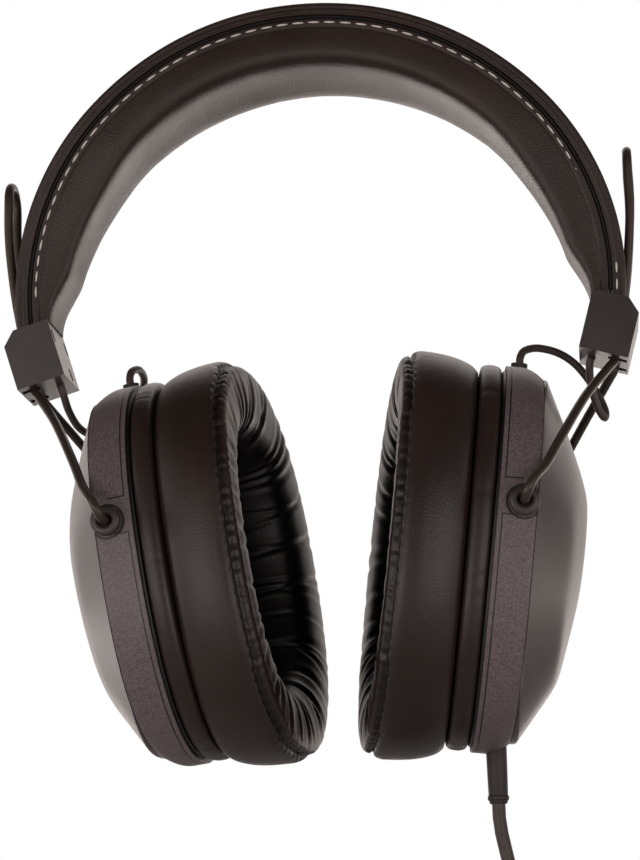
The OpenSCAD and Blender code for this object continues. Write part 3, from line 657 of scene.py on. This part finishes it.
# %% The black welt between them, with a thin cord sewn into its edge
for s, name in ((1, "back"), (-1, "front")):
    rows = []
    for a in band_angles:
        w = half_width(a)
        edge = 0.957 * w
        section = [(5.0, 3.45), (edge - 0.6, 3.45), (edge - 0.1, 3.6), (edge + 0.1, 3.9),
                   (edge - 0.1, 4.2), (edge - 0.6, 4.35), (5.0, 4.35)]
        rows.append([band_point(a, s * min(y, edge + 0.1), d) for y, d in section])
    welt = skin(f"band_welt_{name}", rows)
    cut_at_blocks(welt)
    dress(welt, seam_felt)
    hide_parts("headband_welt")
    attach(welt, "headband")
print("two welts")

# %% [markdown]
# ## Saddle stitches
# White thread runs along the sewn ledge, on the front and on the back. Each stitch is a short thin
# bead that dips into the leather at both ends. Down the left side the thread is pulled tight and
# sinks in. They are all made in one mesh, because they are sewn from one thread.

# %% A bead of thread
def beads(name, stitches, thick=0.42, flat=0.7):
    verts, faces = [], []
    for a, b, out in stitches:
        a, b, out = np.array(a), np.array(b), np.array(out)
        way = (b - a) / np.linalg.norm(b - a)
        side = np.cross(way, out)
        first = len(verts)
        for f in np.linspace(0, 1, 9):
            swell = math.sin(math.pi * min(max(f, 0.04), 0.96)) ** 0.45
            middle = a + (b - a) * f + out * thick * flat * (swell * 0.9 - 0.45)
            for k in range(8):
                c, d = math.cos(math.pi * k / 4), math.sin(math.pi * k / 4)
                verts.append((middle + thick * swell * (c * side + d * out * flat)) * MM)
        for i in range(8):
            ring = first + i * 8
            for k in range(8):
                n = (k + 1) % 8
                faces.append([ring + k, ring + n, ring + 8 + n, ring + 8 + k])
        faces += [[first + k for k in range(8)], [first + 64 + k for k in range(8)]]
    mesh = bpy.data.meshes.new(name)
    mesh.from_pydata([list(v) for v in verts], [], faces)
    bm = bmesh.new()
    bm.from_mesh(mesh)
    bmesh.ops.recalc_face_normals(bm, faces=bm.faces)
    bm.to_mesh(mesh)
    bm.free()
    mesh.shade_smooth()
    piece = bpy.data.objects.new(name, mesh)
    bpy.context.scene.collection.objects.link(piece)
    return piece


# %% The band's stitches
STITCH_LEN, STITCH_PITCH = 2.8, 4.05
SINK, SINK_A = 0.31, 58
END_STITCH, END_DEPTH = 1.3, 2.3
fine_a = np.linspace(-92.2, 92.2, 900)
stitches = []
for s in (-1, 1):
    sunk = [SINK * min(1, max(0, (a - SINK_A) / 8)) for a in fine_a]
    aside = [s * (0.972 * half_width(a) + 0.05 - d) for a, d in zip(fine_a, sunk)]
    line = np.array([band_point(a, w, 5.5) for a, w in zip(fine_a, aside)])
    far = distances(line)
    count = int((far[-1] - 3) / STITCH_PITCH)
    for i in range(count):
        d = (far[-1] - count * STITCH_PITCH) / 2 + STITCH_PITCH * (i + 0.5)
        ends = [[np.interp(d + h * STITCH_LEN, far, line[:, k]) for k in range(3)] for h in (-0.5, 0.5)]
        stitches.append((*ends, [0, s, 0]))
    for a in (89.4, 93.2):
        ends = [band_point(a + h, s * 0.98 * half_width(a), END_DEPTH) for h in (-END_STITCH, END_STITCH)]
        stitches.append((*ends, [0, s, 0]))
band_stitches = beads("band_stitches", stitches, thick=0.25)
dress(band_stitches, white_thread)
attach(band_stitches, "headband")
print(len(stitches), "stitches on the band")

# %% [markdown]
# ## The blocks
# A block's two halves are right as they came from CAD, apart from their knife edges. Real mouldings
# have a small radius on every edge, and it is this that catches the light. A Bevel modifier adds
# it after the doubled points are welded.

# %% Rounded edges for the CAD parts
def soften(node, width=0.35, segments=3, angle=30):
    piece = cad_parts[node]
    weld = piece.modifiers.new("weld", "WELD")
    weld.merge_threshold = 0.00001
    bevel = piece.modifiers.new("bevel", "BEVEL")
    bevel.width, bevel.segments = width * MM, segments
    bevel.limit_method, bevel.angle_limit = "ANGLE", math.radians(angle)
    bevel.harden_normals = True


carried = {"block_outer": block_plastic, "block_inner": block_plastic, "block_screws": screw_plate,
           "block_grip": soft_rubber, "link_grommet": soft_rubber, "baffle": inner_plastic,
           "driver_frame": inner_plastic, "driver_magnet": spring_steel, "voice_coil": copper_wire,
           "diaphragm": diaphragm_film, "driver_grille": trim_plastic, "cup_screws": screw_plate}
for side, s in SIDES:
    for node, finish in carried.items():
        dress(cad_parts[f"{node}_{side}"], finish)
    for half in ("block_outer", "block_inner"):
        soften(f"{half}_{side}")
for node, finish in {"spring_strip": spring_steel, "headband_wire": cable_jacket, "plug_boot": soft_rubber,
                     "plug_barrel": trim_plastic, "plug_contact": gold_plate}.items():
    dress(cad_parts[node], finish)
print(len(carried) * 2 + 5, "CAD parts dressed")

# %% [markdown]
# ## The yoke wires
# One steel wire makes each yoke: a hairpin that stands over the block, two legs that splay round
# the cup, and two ends turned in towards each other as pivots. A tube along the CAD's own line,
# with finer steps, is the real shape.

# %% The wires
WIRE_D, LEG_Y = 2.3, 5.7
PIVOT_X, PIVOT_Z, CUP_YAW, LEG_FREE_Z = 46.9, -119.5, math.radians(5), -82.2
LEG_LOW = [[46.9, 39.2, -119.5], [46.9, 42.6, -119.5], [46.9, 43.6, -119.5], [46.95, 44.9, -119.2],
           [47.4, 46, -118.2], [48.3, 46.2, -116.7], [49.8, 45, -114.6], [53.4, 40, -110.6],
           [58.2, 31.6, -103], [65.6, 19.2, -91], [72, 8.4, -82.2]]
HAIRPIN = [[74, -79], [75.6, -71], [77, -63], [78.3, -55], [79.3, -46], [79.8, -38], [79.7, -30]]
leg = LEG_LOW + [[x, LEG_Y, z] for x, z in HAIRPIN]
BOW_X, BOW_Z = HAIRPIN[-1]
bow = [[BOW_X, LEG_Y * math.cos(a), BOW_Z + LEG_Y * math.sin(a)] for a in np.radians((30, 60, 90, 120, 150))]


def leg_turn(x, y, z):
    """A leg's point turned with its cup: fully at the pivot, and not at all at the block."""
    a = CUP_YAW * max(0.0, (LEG_FREE_Z - z) / (LEG_FREE_Z - PIVOT_Z))
    x -= PIVOT_X
    return [PIVOT_X + x * math.cos(a) - y * math.sin(a), x * math.sin(a) + y * math.cos(a), z]


wire = np.array([leg_turn(*q) for q in leg] + bow + [leg_turn(x, -y, z) for x, y, z in leg[::-1]])
for side, s in SIDES:
    line = even_line(smooth_line(wire, 8), 0.6) * [s, 1, 1]
    yoke = tube(f"yoke_bent_wire_{side}", line, WIRE_D / 2, sides=24, start=(1, 0.1, 0))
    dress(yoke, yoke_coat)
    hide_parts(f"yoke_wire_{side}")
    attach(yoke, f"yoke_{side}")
print("wire is", round(distances(wire)[-1]), "mm long")

# %% [markdown]
# ## The cups
# A cup is drawn in its own frame: the line through its pivots is Y, X points away from the head,
# and its middle is 9 mm under the pivots. Every outline is the same slightly squared oval. One
# function takes a point from this frame to its place at rest, where the cup leans in at its
# bottom and is turned a little, its front edge outward.

# %% From a cup's frame to its place
CUP_LEAN = math.radians(7.5)
CUP_H, CUP_W, MID_Z = 96.8, 79.0, -9.0
OVAL = 2 / 2.3


def placed(points, s):
    p = np.asarray(points, float)
    x = p[..., 0] * math.cos(CUP_LEAN) + p[..., 2] * math.sin(CUP_LEAN)
    z = PIVOT_Z - p[..., 0] * math.sin(CUP_LEAN) + p[..., 2] * math.cos(CUP_LEAN)
    out = PIVOT_X + x * math.cos(CUP_YAW) - p[..., 1] * math.sin(CUP_YAW)
    return np.stack([s * out, x * math.sin(CUP_YAW) + p[..., 1] * math.cos(CUP_YAW), z], -1)


def oval(a, b, t, mid=MID_Z):
    c, d = np.cos(t), np.sin(t)
    return np.sign(d) * np.abs(d) ** OVAL * b, mid + np.sign(c) * np.abs(c) ** OVAL * a


def even_turns(n, a=CUP_H / 2, b=CUP_W / 2):
    t = np.linspace(0, 2 * math.pi, 4001)
    y, z = oval(a, b, t)
    far = distances(np.stack([y, z, y * 0], 1))
    return np.interp(np.linspace(0, far[-1], n, endpoint=False), far, t), far[-1]


CORNER = 3.0


def corner(t, x):
    """How far the outline steps in at the top and the bottom, near the cover."""
    return CORNER * np.abs(np.cos(t)) ** 3 * np.clip((x + 2.5) / 5.8, 0, 1) ** 2


def oval_loop(name, s, section, n=300, loop=True, sharp=35):
    """A ring whose section is [x, inset] pairs, inset measured inward from the cup's outline."""
    turns, _ = even_turns(n)
    rows = []
    for t in turns:
        rows.append([[x, *oval(CUP_H / 2 - d - corner(t, x), CUP_W / 2 - d, t)] for x, d in section])
    piece = skin(name, placed(rows, s), loop=loop, sharp=sharp)
    local = np.array(rows, float).reshape(-1, 3)
    mark = piece.data.attributes.new("cup_place", "FLOAT_VECTOR", "POINT")
    mark.data.foreach_set("vector", local.astype(np.float32).ravel())
    return piece


def fit(piece, finish, node, side, body="cup"):
    dress(piece, finish)
    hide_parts(f"{node}_{side}")
    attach(piece, f"{body}_{side}")


# %% [markdown]
# ## Cover, housing and trim
# The outer cover is a smooth satin shell with flat facets that meet in soft edges. Its height over
# each point of the oval is the lowest of the facets' planes there, taken with a soft minimum, which
# rounds each edge by the same amount. The housing behind it wears the flake paint and is rounded
# towards the cover at its top and bottom. A trim ring goes on flush, and ends in a recess that is
# darkened with painted shade.

# %% The facets' planes, from the hull of the three plates
PLATES = (((3.5, -9, 48.4, 39.5), 60), ((13.6, -10.5, 30, 25), 12), ((17.5, -5, 14, 12), 8))


def facet_planes():
    points = []
    for (x, mid, a, b), n in PLATES:
        t = np.radians(360 * (np.arange(n) + 0.5) / n)
        y, z = oval(a, b, t, mid)
        points += [Vector((x, *q)) for q in zip(y, z)]
    bm = bmesh.new()
    for p in points:
        bm.verts.new(p)
    bmesh.ops.convex_hull(bm, input=bm.verts)
    inside = sum(points, Vector()) / len(points)
    planes = []
    for f in bm.faces:
        n = f.normal.copy()
        if n.dot(f.calc_center_median() - inside) < 0:
            n = -n
        if n.x > 0.05 and f.calc_area() > 0.5:
            d = n.dot(f.verts[0].co)
            if not any((Vector(p[:3]) - n).length < 0.03 and abs(p[3] - d) < 0.3 for p in planes):
                planes.append((n.x, n.y, n.z, d))
    bm.free()
    return np.array(planes)


planes = facet_planes()
print("facets on a cover:", len(planes))

# %% The cover
SOFT = 2.2


def cover_height(y, z):
    x = (planes[:, 3] - planes[:, 1] * y[..., None] - planes[:, 2] * z[..., None]) / planes[:, 0]
    low = x.min(-1)
    return low - np.log(np.exp(-SOFT * (x - low[..., None])).sum(-1)) / SOFT


turns, _ = even_turns(300)
share = np.concatenate([np.linspace(0.02, 0.9, 60), np.linspace(0.905, 0.99, 16)])
for side, s in SIDES:
    rows = []
    for f in share:
        y, z = oval((CUP_H / 2 - corner(turns, 3.3)) * f, CUP_W / 2 * f, turns)
        rows.append(np.stack([cover_height(y, z), y, z], 1))
    edge_x = rows[-1][:, 0].copy()
    for x_drop, inset in ((0.25, 0.16), (0.8, 0.03)):
        y, z = oval(CUP_H / 2 - inset - corner(turns, 3.3), CUP_W / 2 - inset, turns)
        rows.append(np.stack([np.maximum(edge_x - x_drop, 3.36), y, z], 1))
    for x, inset in ((3.32, 0.04), (3.3, 0.5), (3.3, 2.0)):
        y, z = oval(CUP_H / 2 - inset - corner(turns, 3.3), CUP_W / 2 - inset, turns)
        rows.append(np.stack([y * 0 + x, y, z], 1))
    shell = skin(f"cup_shell_{side}", placed(rows, s), sharp=60)
    fit(shell, cover_satin, "cup_cover", side)
    print(side, "shell reaches", round(float(max(r[:, 0].max() for r in rows)), 1), "mm out")

# %% Housing, trim and the pivots' bushes
HOUSING = [(3.26, 0.25), (3.1, 0.06), (2.6, 0), (1.8, 0), (1, 0), (0.2, 0), (-0.6, 0), (-1.5, 0), (-2.5, 0),
           (-5.01, 0), (-5.01, 2), (3.26, 2)]
TRIM = [(-5.02, 0), (-6.0, 0), (-6.15, 0.12), (-6.2, 0.4), (-6.25, 1.3), (-6.8, 1.4), (-6.8, 3.8),
        (-5.02, 3.8)]
BUSH = [(1.2, 36.6), (2.25, 36.6), (2.3, 39.5), (3.6, 39.6), (3.7, 41.1), (3.6, 41.5), (3.35, 41.75),
        (2.9, 41.85), (2.3, 41.95), (1.95, 41.85), (1.65, 41.5), (1.4, 41.0), (1.2, 40.4)]
for side, s in SIDES:
    housing = oval_loop(f"cup_housing_{side}", s, HOUSING)
    fit(housing, rim_paint, "cup_rim", side)
    ring = oval_loop(f"cup_trim_{side}", s, TRIM)
    fit(ring, rim_paint, "trim_ring", side)
    for y, place in ((-1, "front"), (1, "back")):
        axis = (-s * y * math.sin(CUP_YAW), y * math.cos(CUP_YAW), 0)
        part = turned(f"cup_bush_{side}_{place}", BUSH, placed([0, 0, 0], s), axis)
        fit(part, bush_plastic, "pivot_bushes", side)
print("housings, trims and bushes on")

# %% The narrow leather roll behind the pad
ROLL = ((-7.2, 2.2, 0), (-7.2, 1.2, 0.3), (-7.4, 0.55, 0.8), (-8.1, 0.1, 1), (-9.3, -0.18, 1),
        (-10.6, -0.18, 1), (-11.7, 0.1, 1), (-12.3, 0.6, 0.8), (-12.5, 1.3, 0.3), (-12.5, 2.3, 0))
ROLL_IN = 0.3
for side, s in SIDES:
    turns, length = even_turns(420)
    rng = np.random.default_rng(7 + (s > 0))
    creases = [(rng.uniform(0, length), rng.uniform(0.5, 1.4), rng.uniform(0.04, 0.14)) for _ in range(40)]
    rows = []
    for i, t in enumerate(turns):
        far = length * i / len(turns)
        dent = sum(k * math.exp(-((far - at) / w) ** 2) for at, w, k in creases if abs(far - at) < 5)
        row = []
        for x, d, soft in ROLL:
            inset = d + ROLL_IN + dent * soft
            row.append([x, *oval(CUP_H / 2 - inset, CUP_W / 2 - inset, t)])
        rows.append(row)
    roll = skin(f"pad_skirt_{side}", placed(rows, s), loop=True, sharp=70)
    fit(roll, pad_leather, "pad_roll", side)
print("leather rolls on")

# %% [markdown]
# ## The ear pads
# A pad is foam in a leather sleeve. A smooth wall rises from the cup to a seam, and from the seam a
# second piece of leather goes over the crown and down into the hollow, where it is gathered in many
# small folds. The pad is thicker at the back than at the front. The section is a smooth curve; the
# seam's zigzag groove, its puckers and the folds are pressed into it along its own normal.

# %% The pad's section and its folds
PAD_H, PAD_W, PAD_MID, PAD_RING = 102.2, 82.5, -10.0, 20.0
PAD_T, PAD_X = 20.5, -13.0
WEDGE = math.tan(math.radians(4))
SEAM_AT, SEAM_SLOPE = 17.6, 0.027
SECTION = [(0.2, 0.0), (0.13, 0.07), (0.075, 0.19), (0.035, 0.33), (0.01, 0.49), (0.0, 0.64), (0.015, 0.78),
           (0.065, 0.9), (0.17, 0.975), (0.34, 1.0), (0.55, 0.99), (0.75, 0.93), (0.9, 0.79), (0.97, 0.55),
           (0.985, 0.25), (0.97, 0.0)]
PUCKERS, ZIGZAG, STITCH_STEP = 124, 0.25, 3.3
FOLD_SPANS = ((0.75, 1.5), (0.3, 0.95), (-0.28, 0.28), (0.25, 0.8))   # width, strength, slant, start


def pad_rows(s, n=520):
    rng = np.random.default_rng(21 + (s > 0))
    turns, length = even_turns(n, PAD_H / 2, PAD_W / 2)
    curve = spread(SECTION, 78)
    folds = []
    at = 0.0
    while at < length:
        folds.append([at] + [rng.uniform(*span) for span in FOLD_SPANS])
        at += rng.uniform(4.4, 9.6)
    puckers = [(length * (i + rng.uniform(-0.25, 0.25)) / PUCKERS, rng.uniform(0.4, 1.0))
               for i in range(PUCKERS)]
    rows, seam, shade = [], [], []
    for i, t in enumerate(turns):
        far = length * i / n
        rim = np.array(oval(PAD_H / 2, PAD_W / 2, t, PAD_MID))
        hole = np.array(oval(PAD_H / 2 - PAD_RING, PAD_W / 2 - PAD_RING, t, PAD_MID))
        yz = rim + (hole - rim) * curve[:, :1]
        height = (PAD_T + yz[:, 0] * WEDGE) * curve[:, 1]
        points = np.column_stack([PAD_X - height, yz])
        inward = np.array([0, *(hole - rim)]) / np.linalg.norm(hole - rim)
        flat = np.column_stack([points @ inward, points[:, 0]])
        way = np.gradient(flat, axis=0)
        way /= np.linalg.norm(way, axis=1)[:, None]
        normal = -way[:, 1:] * inward + way[:, :1] * np.array([1.0, 0, 0])
        normal *= -1 if normal[20] @ inward > 0 else 1
        along = distances(np.column_stack([flat, flat[:, 0] * 0]))
        crown = int(np.argmin(points[:, 0]))
        seam_x = PAD_X - (SEAM_AT + SEAM_SLOPE * rim[0])
        k = int(np.argmin(np.abs(points[:crown, 0] - seam_x)))
        gone = along - along[k]
        from_seam = gone + ZIGZAG * (abs(far / STITCH_STEP % 1 - 0.5) * 4 - 1)
        ends = 0.45 + 0.55 * abs(math.cos(t)) ** 2
        push = -1.5 * np.exp(-(from_seam / 0.66) ** 2)
        push += 0.3 * np.exp(-((gone - 2.4) / 1.5) ** 2) + 0.22 * np.exp(-((gone + 2.4) / 1.7) ** 2)
        for p, strength in puckers:
            gap = min(abs(far - p), length - abs(far - p))
            if gap < 4:
                reach = np.where(gone > 0, np.exp(-(gone / 3.0) ** 2), 0.55 * np.exp(-(gone / 1.9) ** 2))
                push -= 0.3 * strength * math.exp(-(gap / 0.6) ** 2) * reach
        inner = 1 / (1 + np.exp(-(gone - 4.5) / 1.3))
        to_base = np.clip((along[-1] - along) / 5, 0, 1)
        for p, w, strength, slant, start in folds:
            gap = (far - p + slant * np.maximum(gone, 0) + length / 2) % length - length / 2
            reach = 1 / (1 + np.exp(-(gone - 18 * start + 4) / 2.0))
            push -= 0.85 * strength * ends * np.exp(-(gap / w) ** 2) * inner * to_base * (0.35 + 0.65 * reach)
            push += 0.22 * strength * ends * np.exp(-((np.abs(gap) - 2.0 * w) / w) ** 2) * inner * to_base
        moved = points + normal * push[:, None]
        rows.append(moved)
        # Painted shade: darker along the seam's groove and towards the bottom of the hollow.
        shade.append(np.maximum(np.exp(-(from_seam / 0.85) ** 2), 0.99 * eased((gone - 7.5) / 6.5)))
        seam.append((moved[k], normal[k], far))
    return rows, seam, shade


# %% The pads, with a thread that pulls their seams in
for side, s in SIDES:
    rows, seam, shade = pad_rows(s)
    pad = skin(f"pad_cushion_{side}", placed(rows, s), loop=True)
    # The painted shade goes onto the pad as a point attribute that the leather reads.
    mark = pad.data.attributes.new("seam_shade", "FLOAT", "POINT")
    mark.data.foreach_set("value", np.array(shade, np.float32).ravel())
    fit(pad, pad_leather, "ear_pad", side)
    line = placed([p for p, _, _ in seam], s)
    out = placed([p + n for p, n, _ in seam], s) - line
    far = distances(np.vstack([line, line[:1]]))
    closed = np.vstack([line, line[:1]])
    count = int(far[-1] / STITCH_STEP)
    sewn = []
    for i in range(count):
        d = far[-1] * (i + 0.5) / count
        a, b = ([np.interp(d + h, far, closed[:, k]) for k in range(3)] for h in (-1.1, 1.1))
        j = min(len(out) - 1, int(d / far[-1] * len(out)))
        sewn.append((a, b, out[j] / np.linalg.norm(out[j])))
    stitch = beads(f"pad_stitches_{side}", sewn, thick=0.34)
    dress(stitch, black_thread)
    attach(stitch, f"cup_{side}")
    print(side, "pad:", len(pad.data.vertices), "points,", count, "stitches")

# %% The damping cloth at the bottom of each pad's hollow
for side, s in SIDES:
    turns, _ = even_turns(96, 31, 20.5)
    rows = []
    for f in (0.02, 0.2, 0.4, 0.6, 0.8, 0.93, 1.0):
        y, z = oval(31.1 * f, 20.6 * f, turns)
        rows.append(np.stack([y * 0 - 13.5 - 0.7 * (1 - f ** 2), y, z], 1))
    cloth = skin(f"damping_sheet_{side}", placed(rows, s))
    fit(cloth, damping_cloth, "damping_cloth", side)
print("cloths in")

# %% The boot under the left cup
BOOT = [(1.75, 0), (2.15, 0.05), (2.35, 0.8), (2.62, 1.0), (2.68, 1.6), (2.6, 1.9), (2.42, 2.1), (2.5, 6.0),
        (2.6, 15.1), (2.4, 15.5), (1.0, 15.5)]
boot = turned("cord_boot_sleeve", BOOT, LEAD[0], (0, 0, 1))
dress(boot, soft_rubber)
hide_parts("cord_boot")
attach(boot, "cup_left")
print("boot on")

# %% [markdown]
# ## Light and ground
# The photograph is a plain product shot on white. Two low soft lamps stand in front, two at the
# sides, and three behind and above. The camera sees a white world. As a light the world is dim, and
# in reflections it is bright only behind the object and low down, like a lit backdrop: this is what
# makes the band's underside and the lower faces of the blocks shine.

# %% World
world = bpy.data.worlds.new("studio")
bpy.context.scene.world = world
world.use_nodes = True
nodes, links = world.node_tree.nodes, world.node_tree.links
sky = nodes["Background"]
path = nodes.new("ShaderNodeLightPath")
where = nodes.new("ShaderNodeTexCoord")
split = nodes.new("ShaderNodeSeparateXYZ")
links.new(where.outputs["Generated"], split.inputs[0])


def world_ramp(output, low, high, to_low, to_high):
    ramp = nodes.new("ShaderNodeMapRange")
    ramp.interpolation_type = "SMOOTHSTEP"
    links.new(split.outputs[output], ramp.inputs["Value"])
    for key, value in (("From Min", low), ("From Max", high), ("To Min", to_low), ("To Max", to_high)):
        ramp.inputs[key].default_value = value
    return ramp.outputs[0]


def world_math(operation, a, b):
    node = nodes.new("ShaderNodeMath")
    node.operation = operation
    links.new(a, node.inputs[0])
    if isinstance(b, float):
        node.inputs[1].default_value = b
    else:
        links.new(b, node.inputs[1])
    return node.outputs[0]


seen = world_math("MAXIMUM", path.outputs["Is Camera Ray"], path.outputs["Is Transmission Ray"])
behind = world_ramp("Y", 0.55, 1.0, 0.02, 1.3)
low_down = world_math("MULTIPLY", world_ramp("Z", 0.05, -0.16, 0.0, 6.0), world_ramp("Y", 0.0, 0.6, 0.0, 1.0))
mirrored = world_math("MULTIPLY", path.outputs["Is Glossy Ray"], world_math("MAXIMUM", behind, low_down))
strength = world_math("MAXIMUM", world_math("MAXIMUM", seen, mirrored), 0.05)
links.new(strength, sky.inputs["Strength"])
tint = nodes.new("ShaderNodeMix")
tint.data_type = "RGBA"
links.new(seen, tint.inputs[0])
tint.inputs[6].default_value = (1, 0.9, 0.84, 1)
tint.inputs[7].default_value = (1, 1, 1, 1)
links.new(tint.outputs[2], sky.inputs["Color"])
print("world nodes:", len(nodes))


# %% Lamps
def lamp(name, place, size, power, target=(0, 0, -0.11), colour=(1, 0.92, 0.89)):
    light = bpy.data.lights.new(name, "AREA")
    light.color = colour
    light.shape = "RECTANGLE"
    light.size, light.size_y = size
    light.energy = power
    o = bpy.data.objects.new(name, light)
    bpy.context.scene.collection.objects.link(o)
    o.location = place
    o.rotation_euler = (Vector(target) - Vector(place)).to_track_quat("-Z", "Y").to_euler()


lamp("key", (-0.5, -0.85, -0.15), (0.7, 0.28), 2.4)
lamp("fill", (0.6, -0.85, -0.15), (0.7, 0.28), 2.4)
lamp("top", (0.0, 0.8, 0.75), (1.0, 0.6), 2.5)
lamp("side_left", (-1.1, -0.25, -0.12), (0.5, 0.9), 3.0)
lamp("side_right", (1.1, -0.25, -0.12), (0.5, 0.9), 1.7)
lamp("rim_left", (-0.9, 0.9, 0.0), (0.4, 1.0), 1.5)
lamp("rim_right", (0.9, 0.9, 0.0), (0.4, 1.0), 1.0)
print("seven lamps")

# %% Floor
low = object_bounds()[0].z
FLOOR_HALF, FLOOR_GAP = 1.6, 0.001
corners = [(x * FLOOR_HALF, y * FLOOR_HALF, low - FLOOR_GAP) for x, y in ((-1, -1), (1, -1), (1, 1), (-1, 1))]
mesh = bpy.data.meshes.new("floor")
mesh.from_pydata(corners, [], [(0, 1, 2, 3)])
floor = bpy.data.objects.new("floor", mesh)
bpy.context.scene.collection.objects.link(floor)
ground = Finish("ground", roughness=0.8, base_color=(0.82, 0.82, 0.82, 1))
dress(floor, ground)
print("floor at", round(low, 4))

# %% [markdown]
# ## Finish
# The view stays plain.

# %% A plain view
bpy.context.scene.view_settings.view_transform = "Standard"
